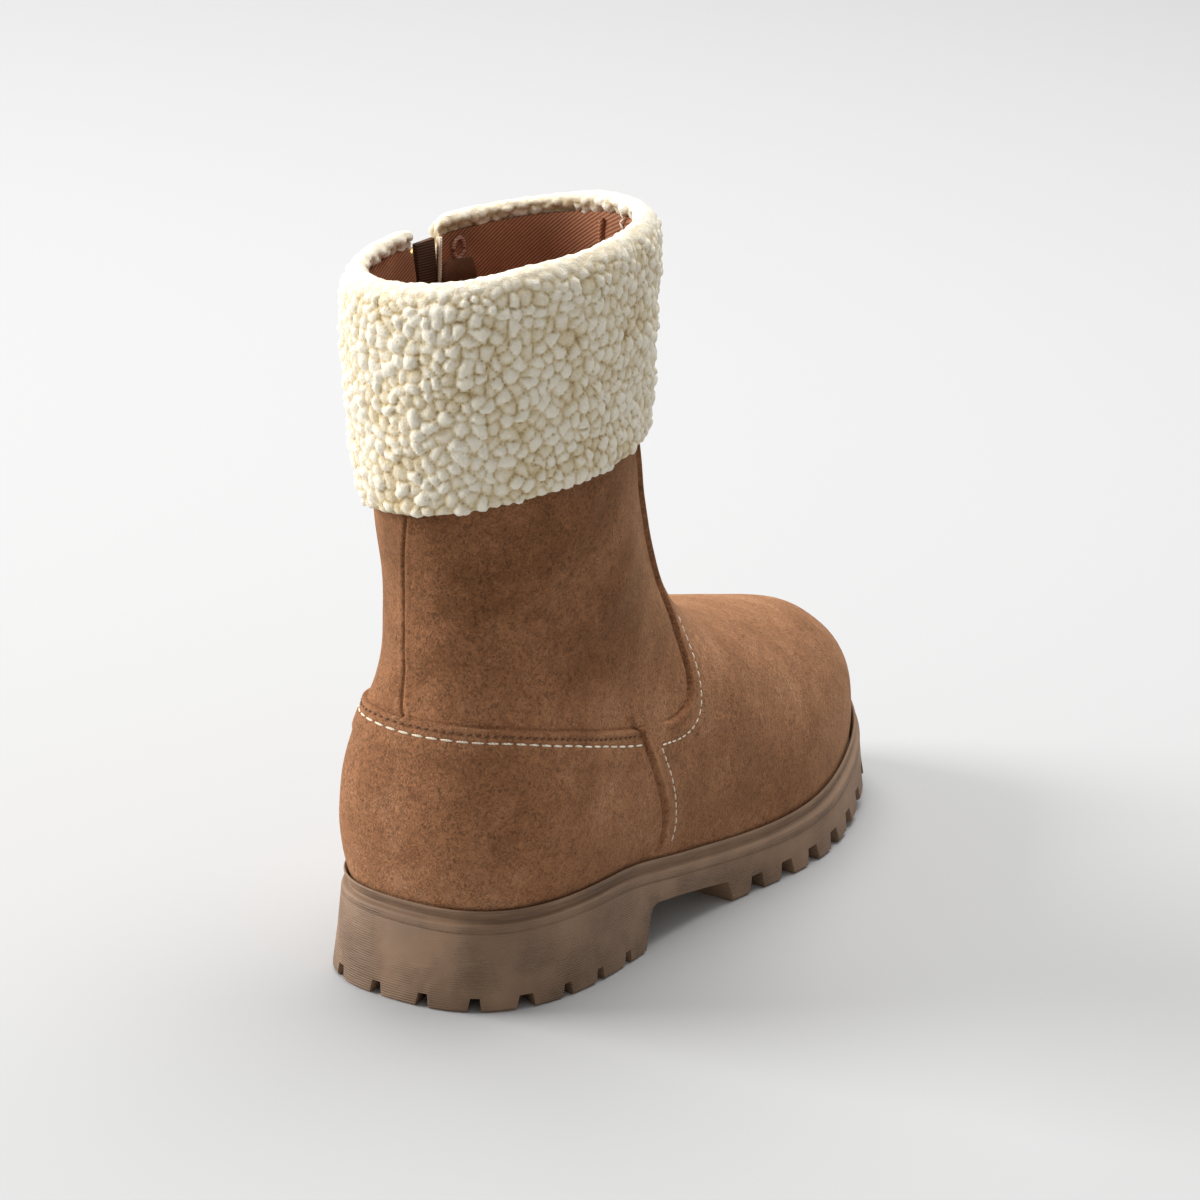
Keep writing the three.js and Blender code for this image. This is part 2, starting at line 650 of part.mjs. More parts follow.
function makeSlider() {
  const shape = new THREE.Shape();
  const half = SLIDER.width / 2;
  const end = SLIDER.length / 2;
  shape.moveTo(-half, end - 1.5);
  shape.lineTo(-half + 1.4, end);
  shape.lineTo(half - 1.4, end);
  shape.lineTo(half, end - 1.5);
  shape.lineTo(half * 0.72, -end);
  shape.lineTo(-half * 0.72, -end);
  shape.closePath();
  const plate = new THREE.ExtrudeGeometry(shape, { depth: SLIDER.thickness, bevelEnabled: false });
  const arch = new THREE.Shape();
  const reach = BRIDGE.length / 2;
  const inside = reach - BRIDGE.wall;
  const foot = -0.5;
  arch.moveTo(-reach, foot);
  arch.lineTo(-inside, foot);
  arch.lineTo(-inside, BRIDGE.height - BRIDGE.wall);
  arch.lineTo(inside, BRIDGE.height - BRIDGE.wall);
  arch.lineTo(inside, foot);
  arch.lineTo(reach, foot);
  arch.lineTo(reach, BRIDGE.height - 0.9);
  arch.lineTo(reach - 0.9, BRIDGE.height);
  arch.lineTo(-reach + 0.9, BRIDGE.height);
  arch.lineTo(-reach, BRIDGE.height - 0.9);
  arch.closePath();
  const bridge = new THREE.ExtrudeGeometry(arch, { depth: BRIDGE.width, bevelEnabled: false });
  bridge.translate(0, 0, -BRIDGE.width / 2);
  bridge.applyMatrix4(new THREE.Matrix4().makeBasis(
    new THREE.Vector3(0, 1, 0),
    new THREE.Vector3(0, 0, 1),
    new THREE.Vector3(1, 0, 0),
  ));
  bridge.translate(0, 0, SLIDER.thickness);
  return toGeometry(toSolid(plate).add(toSolid(bridge)));
}

// The pull tab about its crossbar: an eye round the bridge and a plate with a slot, hanging down.
function makePull() {
  const bottom = -PULL.eyeLength - PULL.length;
  const shape = roundedOutline(PULL.width / 2, PULL.bar / 2, bottom, 1.6);
  const eye = new THREE.Path();
  const eyeHalf = PULL.eyeWidth / 2 - PULL.arm;
  eye.moveTo(-eyeHalf, -PULL.bar / 2);
  eye.lineTo(-eyeHalf, -PULL.eyeLength);
  eye.lineTo(eyeHalf, -PULL.eyeLength);
  eye.lineTo(eyeHalf, -PULL.bar / 2);
  eye.closePath();
  const slot = new THREE.Path();
  slot.absarc(0, bottom + 5, 1.5, Math.PI, 2 * Math.PI, false);
  slot.absarc(0, bottom + 11, 1.5, 0, Math.PI, false);
  slot.closePath();
  shape.holes.push(eye, slot);
  const plate = new THREE.ExtrudeGeometry(shape, {
    depth: PULL.thickness, bevelEnabled: false, curveSegments: 5,
  });
  plate.translate(0, 0, -PULL.thickness / 2);
  return plate;
}

// ---------------------------------------------------------------- the boot
const finish = (colour, roughness, metalness = 0) => (
  new THREE.MeshStandardMaterial({ color: colour, roughness, metalness })
);
const boot = new THREE.Group();
function addPiece(name, geometry, material) {
  const mesh = new THREE.Mesh(geometry, material);
  mesh.name = name;
  boot.add(mesh);
  return mesh;
}

addPiece('outsole', makeOutsole(), finish('#7f6650', 0.65));
addPiece('welt', makeWelt(), finish('#6b543f', 0.5));
addPiece('insole', makeInsole(), finish('#8b5a44', 0.9));
addPiece('upper', makeUpper(), finish('#9c7450', 0.95));
addPiece('cuff', makeCuff(), finish('#efe6d2', 1));
addPiece('zip_chain', makeZipChain(), finish('#b58a4a', 0.4, 0.6));

const zip = zipFrame(SLIDER_LEVEL);
const slider = addPiece('zip_slider', makeSlider(), finish('#b08d57', 0.3, 1));
slider.position.copy(zip.place).addScaledVector(zip.out, SLIDER.back);
slider.quaternion.setFromRotationMatrix(new THREE.Matrix4().makeBasis(zip.across, zip.up, zip.out));

const pull = addPiece('zip_pull', makePull(), finish('#b08d57', 0.3, 1));
const barHeight = SLIDER.back + SLIDER.thickness + (BRIDGE.height - BRIDGE.wall) / 2;
const plumb = new THREE.Vector3(0, 0, 1);
pull.position.copy(zip.place).addScaledVector(zip.out, barHeight);
pull.quaternion.setFromRotationMatrix(
  new THREE.Matrix4().makeBasis(zip.across, plumb, zip.across.clone().cross(plumb)),
);

const box = new THREE.Box3().setFromObject(boot);
boot.position.set(-(box.min.x + box.max.x) / 2, -(box.min.y + box.max.y) / 2, -box.min.z);

export default boot;
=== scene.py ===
"""A sheepskin boot: suede upper, folded sheepskin cuff, inner zip, stitched welt, lugged sole."""

import itertools
import math

import bmesh
import bpy
import numpy as np
from mathutils import Matrix, Vector, noise
from mathutils.bvhtree import BVHTree
from mathutils.kdtree import KDTree


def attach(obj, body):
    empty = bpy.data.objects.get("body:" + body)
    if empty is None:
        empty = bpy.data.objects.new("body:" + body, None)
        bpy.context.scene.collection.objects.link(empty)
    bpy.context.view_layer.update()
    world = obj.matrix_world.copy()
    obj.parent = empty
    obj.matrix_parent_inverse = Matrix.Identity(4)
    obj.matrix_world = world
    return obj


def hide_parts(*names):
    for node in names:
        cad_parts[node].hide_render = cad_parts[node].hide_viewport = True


bl_info = {
    "name": "Sheepskin boot",
    "version": (1, 0, 0),
    "blender": (4, 5, 0),
    "location": "3D View > Sidebar > Boot",
    "description": "Builds the pieces of a sheepskin boot round its packed frame",
    "category": "Add Mesh",
}

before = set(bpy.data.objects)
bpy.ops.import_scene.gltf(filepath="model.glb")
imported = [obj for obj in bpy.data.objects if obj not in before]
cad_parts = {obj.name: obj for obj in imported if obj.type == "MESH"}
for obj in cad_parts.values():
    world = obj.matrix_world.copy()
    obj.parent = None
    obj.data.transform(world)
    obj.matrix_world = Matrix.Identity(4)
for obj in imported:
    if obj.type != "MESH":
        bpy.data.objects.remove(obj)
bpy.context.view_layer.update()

MM = 0.001
# Corners of a CAD mesh closer than this are one corner.
WELD = 0.02 * MM

# A line through the middle of the hollow, toe to collar, in metres. It tells the outside from
# the lining.
HOLLOW_LINE = [
    Vector((0.0, 0.108, 0.046)),
    Vector((0.002, 0.04, 0.052)),
    Vector((0.0, -0.04, 0.062)),
    Vector((-0.002, -0.07, 0.1)),
    Vector((-0.005, -0.077, 0.16)),
    Vector((-0.007, -0.08, 0.25)),
]

# The front edge of each side panel, from under the cuff down to its rounded corner and back
# along the counter band, as seen from the side. Columns: y, z in millimetres.
PANEL_EDGE = [
    (-42.5, 186.0),
    (-42.0, 170.0),
    (-40.5, 152.0),
    (-36.0, 136.0),
    (-29.5, 121.0),
    (-24.5, 108.0),
    (-22.0, 97.0),
    (-22.3, 87.0),
    (-25.5, 79.8),
    (-32.0, 76.6),
    (-40.0, 76.4),
    (-50.0, 77.6),
]

# The white stitches along the front piece, outside that corner. Columns: y, z in millimetres.
FRONT_STITCHES = [
    (-14.6, 103.0),
    (-14.8, 96.0),
    (-15.6, 88.0),
    (-17.0, 80.4),
    (-19.0, 74.6),
    (-23.4, 70.6),
    (-30.0, 69.0),
    (-38.0, 69.0),
    (-47.5, 70.4),
]

# The rear edge of the foot piece, over the counter, from the band to the sole.
FOOT_EDGE = [
    (-58.6, 79.0),
    (-54.8, 72.4),
    (-50.6, 61.0),
    (-46.6, 51.0),
    (-44.0, 42.0),
    (-44.4, 35.0),
    (-47.2, 29.6),
]
FOOT_STITCHES = [
    (-46.6, 69.4),
    (-42.4, 60.3),
    (-39.2, 49.5),
    (-37.0, 39.5),
    (-38.2, 31.5),
]

# The band round the counter. Columns: turn in degrees about the shaft, 0 on the outer side and
# 90 at the heel, then the height of its top edge and of its stitched lower edge in millimetres.
BAND = [
    (-31.0, 78.6, 72.6),
    (-22.0, 80.0, 74.2),
    (-12.0, 81.8, 76.4),
    (0.0, 83.9, 79.0),
    (11.0, 85.9, 81.2),
    (24.0, 88.5, 84.0),
    (37.0, 90.8, 86.5),
    (54.0, 93.9, 89.8),
    (70.0, 95.7, 91.4),
    (90.0, 96.2, 91.7),
    (110.0, 95.7, 91.4),
    (126.0, 93.9, 89.8),
    (143.0, 90.8, 86.5),
    (156.0, 88.5, 84.0),
    (169.0, 85.9, 81.2),
    (180.0, 83.9, 79.0),
    (192.0, 81.8, 76.4),
    (202.0, 80.0, 74.2),
    (211.0, 78.6, 72.6),
]
BAND_AXIS = (-0.001, -0.078)

# The seam up the back of the shaft. Columns: x, z in millimetres.
BACK_SEAM = [(-3.6, 96.0), (-5.8, 101.0), (-8.4, 116.0), (-9.8, 132.0), (-9.4, 148.0),
             (-6.8, 166.0), (-5.5, 180.0)]

# The height of the sole's top edge along the boot. Columns: y, height in millimetres.
SOLE_TOP = [
    (-136.3, 30.7),
    (-70.3, 30.2),
    (-50.3, 27.6),
    (-30.3, 23.4),
    (-10.3, 20.2),
    (13.7, 18.0),
    (59.7, 17.6),
    (99.7, 22.0),
    (120.0, 26.0),
    (137.2, 31.0),
]

# The zip's line on the inner side. Columns: y, z in millimetres.
ZIP_LINE = [(-53.0, 103.5), (-56.8, 130.0), (-60.2, 160.0), (-63.0, 190.0), (-65.0, 229.0)]


# The cuff covers the upper's outside above its hem, and shows its own inside above the fold.
CUFF_HEM = 0.176
CUFF_FADE = 0.012
CUFF_INSIDE_SHOWS = 0.222
# The cuff's two ends at the zip: the side they are on, the line between them, and where the
# rear and the front end start to close in on it, with how far back that reaches and how much.
CUFF_ENDS_X = -0.025
CUFF_SPLIT_Y = -0.065
REAR_END = (-0.0722, 0.024, 2.8 * MM)
FRONT_END = (-0.0578, 0.02, 1.4 * MM)

# Heights on the sole and the welt, measured as at the heel, where the sole's top edge is at
# STRATA_TOP. Round the boot they follow that edge.
STRATA_TOP = 30.5 * MM
FLASH_AT = 30.55 * MM
WELT_FOOT = 1.2 * MM
WELT_DROP = 0.8 * MM
BEAD_FROM = 4.35 * MM
STITCH_AT = 34.0 * MM
# The welt's moulded stitches: each has strands, this far apart, and lies in from the edge.
STITCH_INSET = 1.9 * MM
STRANDS = 4
STRAND_GAP = 1.1 * MM

# The flap behind the zip, on the lining. Columns: height, first and last y in millimetres.
ZIP_GUARD = [
    (112, -54.0, -44.0),
    (160, -59.5, -47.0),
    (200, -62.0, -49.0),
    (219, -62.0, -48.5),
    (223.5, -59.5, -50.5),
]
GUARD_OFF_WALL = 1.3 * MM
GUARD_THICKNESS = 0.7 * MM
# Where the lining is open behind the zip, its pieces are this far to the inner side.
INNER_WALL_X = -0.0405
CORD_WALL_X = -0.0415

# The cord beside the zip, its two ends. Columns: y, z in millimetres.
CORD_ENDS = [(-58.5, 150), (-62.2, 232)]
CORD_RADIUS = 0.6 * MM
# The tape loop: its middle, and its half sizes.
LOOP_MIDDLE = Vector((-0.0385, -0.0535, 0.2268))
LOOP_SIZE = (0.7 * MM, 2.1 * MM, 3.4 * MM)
LOOP_RADIUS = 0.75 * MM
# The lining's front seam, from and to these heights in millimetres, and the zigzag beside it.
FRONT_SEAM = (150, 246)
SEAM_RADIUS = 1.0 * MM
ZIGZAG_TOP = 246.0
ZIGZAG_PITCH = 3.4
ZIGZAG_COUNT = 7

# The studio's soft lights. Columns: name, place, the point they face, size in metres, watts.
LIGHTS = [
    ("overhead", (-0.3, 0.55, 1.9), (0, 0.0, 0.08), (1.7, 1.4), 46),
    ("left", (-3.1, -1.5, 1.55), (0, -0.05, 0.1), (2.0, 2.2), 185),
]
# The camera, its turns in radians: yaw to the left, pitch down, and roll.
CAMERA_PLACE = Vector((0.88417, -1.55283, 0.74834))
CAMERA_YAW = math.radians(29.93)
CAMERA_PITCH = math.radians(20.01)
CAMERA_ROLL = 0.0497


def linear(text):
    """An sRGB hex colour as linear RGBA."""
    values = [int(text[i:i + 2], 16) / 255 for i in (1, 3, 5)]
    return [v / 12.92 if v <= 0.04045 else ((v + 0.055) / 1.055) ** 2.4 for v in values] + [1.0]


def per_mm(size):
    """The Scale of a noise or a Voronoi texture whose features are this many millimetres."""
    return 1 / (size * MM)


def wave_per_mm(pitch):
    """The Scale of a wave texture whose bands repeat every so many millimetres."""
    return math.tau / 20 / (pitch * MM)


def add_node(tree, kind, links=None, **settings):
    """Adds a node, sets its properties and its inputs, and links the inputs that are sockets."""
    node = tree.nodes.new(kind)
    for name, value in settings.items():
        setattr(node, name, value)
    for name, value in (links or {}).items():
        socket = node.inputs[name]
        if isinstance(value, bpy.types.NodeSocket):
            tree.links.new(value, socket)
        else:
            socket.default_value = value
    return node


def new_material(name, **shader):
    """A material with a principled shader, its tree and its object coordinates."""
    material = bpy.data.materials.new(name)
    material.use_nodes = True
    tree = material.node_tree
    principled = tree.nodes["Principled BSDF"]
    for key, value in shader.items():
        principled.inputs[key.replace("_", " ")].default_value = value
    where = add_node(tree, "ShaderNodeTexCoord").outputs["Object"]
    return material, tree, principled, where


def ramp(tree, factor, stops):
    """A colour ramp through (position, hex colour) stops."""
    node = add_node(tree, "ShaderNodeValToRGB", {"Fac": factor})
    elements = node.color_ramp.elements
    while len(elements) < len(stops):
        elements.new(0.5)
    for element, (position, colour) in zip(elements, stops):
        element.position = position
        element.color = linear(colour)
    return node.outputs["Color"]


def mixed(tree, factor, first, second, blend="MIX"):
    """Two colours mixed, or blended, by a factor."""
    node = add_node(tree, "ShaderNodeMix", data_type="RGBA", blend_type=blend)
    for socket, value in zip([node.inputs[0], node.inputs[6], node.inputs[7]],
                             [factor, first, second]):
        if isinstance(value, bpy.types.NodeSocket):
            tree.links.new(value, socket)
        else:
            socket.default_value = value
    return node.outputs[2]


def maths(tree, operation, first, second=0.0, clamp=False):
    """One sum on two values."""
    node = add_node(tree, "ShaderNodeMath", {0: first, 1: second}, operation=operation)
    node.use_clamp = clamp
    return node.outputs[0]


def raised(tree, height, distance, strength=1.0, under=None):
    """A bump from a height, in millimetres, on top of another bump."""
    links = {"Height": height, "Distance": distance * MM, "Strength": strength}
    if under is not None:
        links["Normal"] = under
    return add_node(tree, "ShaderNodeBump", links).outputs["Normal"]


def suede_finish(name, light, middle, dark, grain=1.0):
    """Suede, buffed split leather: a short upright nap that scatters light, catches it at the
    edge, and lies in soft darker and lighter patches where its nap was brushed. Above the
    counter band its colour is darkened with painted shade."""
    material, tree, shader, where = new_material(
        name, Roughness=0.92, Specular_IOR_Level=0.18,
        Sheen_Weight=0.32, Sheen_Roughness=0.42, Sheen_Tint=linear("#d9b48c"))
    patches = add_node(tree, "ShaderNodeTexNoise", {
        "Vector": where, "Scale": per_mm(34), "Detail": 3.0, "Roughness": 0.55,
        "Distortion": 0.5}).outputs["Fac"]
    strokes = add_node(tree, "ShaderNodeTexNoise", {
        "Vector": where, "Scale": per_mm(9), "Detail": 2.0, "Roughness": 0.6,
        "Distortion": 0.8}).outputs["Fac"]
    tone = maths(tree, "ADD", maths(tree, "MULTIPLY", patches, 0.68),
                 maths(tree, "MULTIPLY", strokes, 0.32))
    # Painted shade: the colour of the shaft above the counter band is darkened.
    height = add_node(tree, "ShaderNodeSeparateXYZ", {"Vector": where}).outputs["Z"]
    painted_shaft_shade = add_node(tree, "ShaderNodeMapRange", {
        "Value": height, "From Min": 0.085, "From Max": 0.115, "To Min": 0.0,
        "To Max": 0.17}, interpolation_type="SMOOTHSTEP").outputs["Result"]
    tone = maths(tree, "SUBTRACT", tone, painted_shaft_shade)
    base = ramp(tree, tone, [(0.24, dark), (0.5, middle), (0.76, light)])
    # The nap's little curls, 1.5 mm across, with fibres of 0.55 mm between them. Both are
    # coarser than real nap, so that they show.
    nap = add_node(tree, "ShaderNodeTexNoise", {
        "Vector": where, "Scale": per_mm(1.5), "Detail": 2.5, "Roughness": 0.62,
        "Distortion": 1.6}).outputs["Fac"]
    fibre = add_node(tree, "ShaderNodeTexNoise", {
        "Vector": where, "Scale": per_mm(0.55), "Detail": 1.0, "Roughness": 0.5}).outputs["Fac"]
    speck = ramp(tree, nap, [(0.34, "#a0a0a0"), (0.5, "#dadada"), (0.68, "#ffffff")])
    shade = mixed(tree, 0.9 * grain, base, speck, "MULTIPLY")
    lift = ramp(tree, fibre, [(0.4, "#7e7e7e"), (0.62, "#8a8a8a")])
    shade = mixed(tree, 0.35, shade, lift, "OVERLAY")
    tree.links.new(shade, shader.inputs["Base Color"])
    pile = maths(tree, "ADD", nap, maths(tree, "MULTIPLY", fibre, 0.4))
    tree.links.new(raised(tree, pile, 0.42, 0.95 * grain), shader.inputs["Normal"])
    return material


def twill_finish(name, warp, weft):
    """Cotton twill, woven: fine diagonal ribs, drawn 0.95 mm apart so that they show."""
    material, tree, shader, where = new_material(
        name, Roughness=0.88, Specular_IOR_Level=0.2,
        Sheen_Weight=0.15, Sheen_Roughness=0.5, Sheen_Tint=linear("#c08c6c"))
    slant = add_node(tree, "ShaderNodeVectorMath", {0: where, 1: (0.613, 0.353, -0.707)},
                     operation="DOT_PRODUCT").outputs["Value"]
    across = add_node(tree, "ShaderNodeCombineXYZ", {"Z": slant}).outputs["Vector"]
    ribs = add_node(tree, "ShaderNodeTexWave", {
        "Vector": across, "Scale": wave_per_mm(0.95), "Distortion": 0.0},
        wave_type="BANDS", bands_direction="Z").outputs["Fac"]
    yarn = add_node(tree, "ShaderNodeTexNoise", {
        "Vector": where, "Scale": per_mm(0.8), "Detail": 2.0}).outputs["Fac"]
    cloud = add_node(tree, "ShaderNodeTexNoise", {
        "Vector": where, "Scale": per_mm(22), "Detail": 1.0}).outputs["Fac"]
    tone = maths(tree, "ADD", maths(tree, "MULTIPLY", ribs, 0.6),
                 maths(tree, "MULTIPLY", yarn, 0.4))
    base = ramp(tree, tone, [(0.2, weft), (0.75, warp)])
    haze = ramp(tree, cloud, [(0.35, "#b4b4b4"), (0.65, "#ffffff")])
    tree.links.new(mixed(tree, 0.6, base, haze, "MULTIPLY"), shader.inputs["Base Color"])
    tree.links.new(raised(tree, tone, 0.25, 0.7), shader.inputs["Normal"])
    return material


def fleece_finish(name, curl, gap):
    """Sheepskin pile, combed and curled: cream locks, with painted shade, tan, in the gaps
    between them. The 'lock' attribute of the mesh is 0 in a gap and 1 on top of a lock."""
    material, tree, shader, where = new_material(
        name, Roughness=0.95, Specular_IOR_Level=0.1,
        Sheen_Weight=0.28, Sheen_Roughness=0.5, Sheen_Tint=linear("#fffaf0"))
    shader.inputs["Subsurface Weight"].default_value = 0.22
    shader.inputs["Subsurface Radius"].default_value = (1.0, 0.86, 0.62)
    shader.inputs["Subsurface Scale"].default_value = 1.6 * MM
    lock = add_node(tree, "ShaderNodeAttribute", attribute_name="lock").outputs["Fac"]
    wool = add_node(tree, "ShaderNodeTexNoise", {
        "Vector": where, "Scale": per_mm(1.3), "Detail": 3.0, "Roughness": 0.65,
        "Distortion": 1.2}).outputs["Fac"]
    fibre = add_node(tree, "ShaderNodeTexNoise", {
        "Vector": where, "Scale": per_mm(0.5), "Detail": 1.0, "Distortion": 0.6}).outputs["Fac"]
    cloud = add_node(tree, "ShaderNodeTexNoise", {
        "Vector": where, "Scale": per_mm(17), "Detail": 1.5}).outputs["Fac"]
    depth = maths(tree, "ADD", lock, maths(tree, "MULTIPLY", maths(tree, "SUBTRACT", wool, 0.5),
                                           0.5))
    depth = maths(tree, "ADD", depth, maths(tree, "MULTIPLY",
                                            maths(tree, "SUBTRACT", cloud, 0.5), 0.5))
    # Painted shade: cream on the tops of the locks, darker and tan down in the gaps between them.
    base = ramp(tree, depth, [(0.05, gap), (0.42, "#dccaa4"), (0.85, curl)])
    tree.links.new(base, shader.inputs["Base Color"])
    height = maths(tree, "ADD", wool, maths(tree, "MULTIPLY", fibre, 0.5))
    tree.links.new(raised(tree, height, 0.7, 0.9), shader.inputs["Normal"])
    return material


def sole_finish(name, light, dark):
    """Foamed rubber, moulded from a sawn pattern: matt brown with fine level ribs 0.8 mm apart
    that follow its top edge, painted shade in the grooves between the ribs, a paler flash line
    below the edge, and faint scuffs."""
    material, tree, shader, where = new_material(
        name, Roughness=0.62, Specular_IOR_Level=0.35)
    strata = add_node(tree, "ShaderNodeAttribute", attribute_name="strata").outputs["Fac"]
    wander = add_node(tree, "ShaderNodeTexNoise", {
        "Vector": where, "Scale": per_mm(30), "Detail": 2.0}).outputs["Fac"]
    level = maths(tree, "ADD", strata, maths(tree, "MULTIPLY", wander, 0.9 * MM))
    upright = add_node(tree, "ShaderNodeCombineXYZ", {"Z": level}).outputs["Vector"]
    ribs = add_node(tree, "ShaderNodeTexWave", {
        "Vector": upright, "Scale": wave_per_mm(0.8), "Distortion": 0.0},
        wave_type="BANDS", bands_direction="Z").outputs["Fac"]
    stretched = add_node(tree, "ShaderNodeMapping", {
        "Vector": where, "Scale": (0.09, 0.09, 1.0)}).outputs["Vector"]
    saw = add_node(tree, "ShaderNodeTexNoise", {
        "Vector": stretched, "Scale": per_mm(1.0), "Detail": 3.0, "Roughness": 0.7}).outputs["Fac"]
    strength = add_node(tree, "ShaderNodeTexNoise", {
        "Vector": where, "Scale": per_mm(16), "Detail": 2.0}).outputs["Fac"]
    # The ribs show on the upright walls only, and fade in and out along them.
    facing = add_node(tree, "ShaderNodeSeparateXYZ", {
        "Vector": add_node(tree, "ShaderNodeNewGeometry").outputs["Normal"]}).outputs["Z"]
    wall = maths(tree, "SUBTRACT", 1.0, maths(tree, "ABSOLUTE", facing))
    wall = maths(tree, "POWER", wall, 2.0)
    amount = maths(tree, "MULTIPLY", ramp(tree, strength, [(0.35, "#303030"), (0.6, "#ffffff")]),
                   wall)
    lines = maths(tree, "ADD", maths(tree, "MULTIPLY", ribs, 0.45),
                  maths(tree, "MULTIPLY", saw, 0.9))
    lines = maths(tree, "MULTIPLY", lines, amount)
    away = maths(tree, "ABSOLUTE", maths(tree, "SUBTRACT", strata, FLASH_AT))
    flash = maths(tree, "MULTIPLY", maths(tree, "LESS_THAN", away, 0.3 * MM), wall)
    grime = add_node(tree, "ShaderNodeTexNoise", {
        "Vector": where, "Scale": per_mm(26), "Detail": 3.0}).outputs["Fac"]
    base = ramp(tree, grime, [(0.32, dark), (0.62, light)])
    base = mixed(tree, maths(tree, "MULTIPLY", saw, 0.35),
                 base, linear("#7a6250"), "MIX")
    # Painted shade: the colour darkens in the grooves between the ribs on the upright walls.
    rib_groove_painted_shade = maths(tree, "MULTIPLY", maths(tree, "SUBTRACT", amount, lines), 0.55, clamp=True)
    base = mixed(tree, rib_groove_painted_shade, base, linear("#54432f"))
    base = mixed(tree, maths(tree, "MULTIPLY", flash, 0.75), base, linear("#b0957b"))
    tree.links.new(base, shader.inputs["Base Color"])
    height = maths(tree, "ADD", lines, maths(tree, "MULTIPLY", flash, 0.5))
    tree.links.new(raised(tree, height, 0.7, 1.0), shader.inputs["Normal"])
    return material


def bead_finish(name, colour, edge):
    """Rubber, moulded and cleaner than the sole: a satin dark-brown bead and welt."""
    material, tree, shader, where = new_material(
        name, Roughness=0.48, Specular_IOR_Level=0.42)
    cloud = add_node(tree, "ShaderNodeTexNoise", {
        "Vector": where, "Scale": per_mm(12), "Detail": 3.0}).outputs["Fac"]
    grain = add_node(tree, "ShaderNodeTexNoise", {
        "Vector": where, "Scale": per_mm(0.7), "Detail": 2.0}).outputs["Fac"]
    base = ramp(tree, cloud, [(0.35, colour), (0.65, edge)])
    tree.links.new(base, shader.inputs["Base Color"])
    tree.links.new(raised(tree, grain, 0.12, 0.4), shader.inputs["Normal"])
    return material


def thread_finish(name, colour, shade):
    """Cotton thread, twisted from two strands: matt, with a slanted ply of 0.6 mm."""
    material, tree, shader, where = new_material(
        name, Roughness=0.8, Specular_IOR_Level=0.2, Sheen_Weight=0.1)
    turned = add_node(tree, "ShaderNodeMapping", {
        "Vector": where, "Rotation": (0.6, 0.7, 0.3)}).outputs["Vector"]
    ply = add_node(tree, "ShaderNodeTexWave", {
        "Vector": turned, "Scale": wave_per_mm(0.6), "Distortion": 0.6}).outputs["Fac"]
    tree.links.new(ramp(tree, ply, [(0.1, shade), (0.6, colour)]), shader.inputs["Base Color"])
    tree.links.new(raised(tree, ply, 0.12, 0.6), shader.inputs["Normal"])
    return material


def brass_finish(name, bright, dull):
    """Brass, cast and plated a light antique gold: soft gloss, dulled in small patches."""
    material, tree, shader, where = new_material(name, Metallic=1.0, Roughness=0.34)
    wear = add_node(tree, "ShaderNodeTexNoise", {
        "Vector": where, "Scale": per_mm(2.4), "Detail": 3.0}).outputs["Fac"]
    tree.links.new(ramp(tree, wear, [(0.35, dull), (0.65, bright)]), shader.inputs["Base Color"])
    rough = add_node(tree, "ShaderNodeMapRange", {
        "Value": wear, "From Min": 0.3, "From Max": 0.7, "To Min": 0.42, "To Max": 0.26})
    tree.links.new(rough.outputs["Result"], shader.inputs["Roughness"])
    return material


def tape_finish(name, colour, shade):
    """Polyester zip tape, woven: a dark close herringbone with ribs of 0.9 mm."""
    material, tree, shader, where = new_material(name, Roughness=0.8, Specular_IOR_Level=0.25)
    ribs = add_node(tree, "ShaderNodeTexWave", {
        "Vector": where, "Scale": wave_per_mm(0.9), "Distortion": 0.5},
        bands_direction="Z").outputs["Fac"]
    tree.links.new(ramp(tree, ribs, [(0.2, shade), (0.7, colour)]), shader.inputs["Base Color"])
    tree.links.new(raised(tree, ribs, 0.15, 0.6), shader.inputs["Normal"])
    return material


def card_finish(name, colour):
    """Seamless card, rolled: an even, matt, pale studio sheet."""
    material, _, shader, _ = new_material(name, Roughness=0.9, Specular_IOR_Level=0.1)
    shader.inputs["Base Color"].default_value = linear(colour)
    return material


def merged_copy(node):
    """A CAD node's mesh as a bmesh, its loose triangles joined up."""
    bm = bmesh.new()
    bm.from_mesh(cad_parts[node].data)
    bmesh.ops.remove_doubles(bm, verts=bm.verts, dist=WELD)
    bmesh.ops.join_triangles(
        bm, faces=bm.faces, angle_face_threshold=math.radians(30),
        angle_shape_threshold=math.radians(60))
    bmesh.ops.recalc_face_normals(bm, faces=bm.faces)
    return bm


def modified(bm, kind, **settings):
    """The bmesh after a modifier with these settings. The one given is freed."""
    mesh = bpy.data.meshes.new("rough")
    bm.to_mesh(mesh)
    bm.free()
    piece = bpy.data.objects.new("rough", mesh)
    bpy.context.scene.collection.objects.link(piece)
    modifier = piece.modifiers.new("shape", kind)
    for name, value in settings.items():
        setattr(modifier, name, value)
    depsgraph = bpy.context.evaluated_depsgraph_get()
    shaped = bpy.data.meshes.new_from_object(piece.evaluated_get(depsgraph))
    result = bmesh.new()
    result.from_mesh(shaped)
    bpy.data.objects.remove(piece)
    bpy.data.meshes.remove(mesh)
    bpy.data.meshes.remove(shaped)
    return result


def subdivided(bm, levels):
    """The bmesh after a subdivision surface."""
    return modified(bm, "SUBSURF", levels=levels, render_levels=levels)


def evenly_meshed(bm, size):
    """The bmesh remeshed in even quads of this size."""
    return modified(bm, "REMESH", mode="VOXEL", voxel_size=size)


def smoothed(bm, verts, factor=0.5):
    """One pass of smoothing on some of a bmesh's vertices."""
    bmesh.ops.smooth_vert(bm, verts=verts, factor=factor, use_axis_x=True, use_axis_y=True,
                          use_axis_z=True)


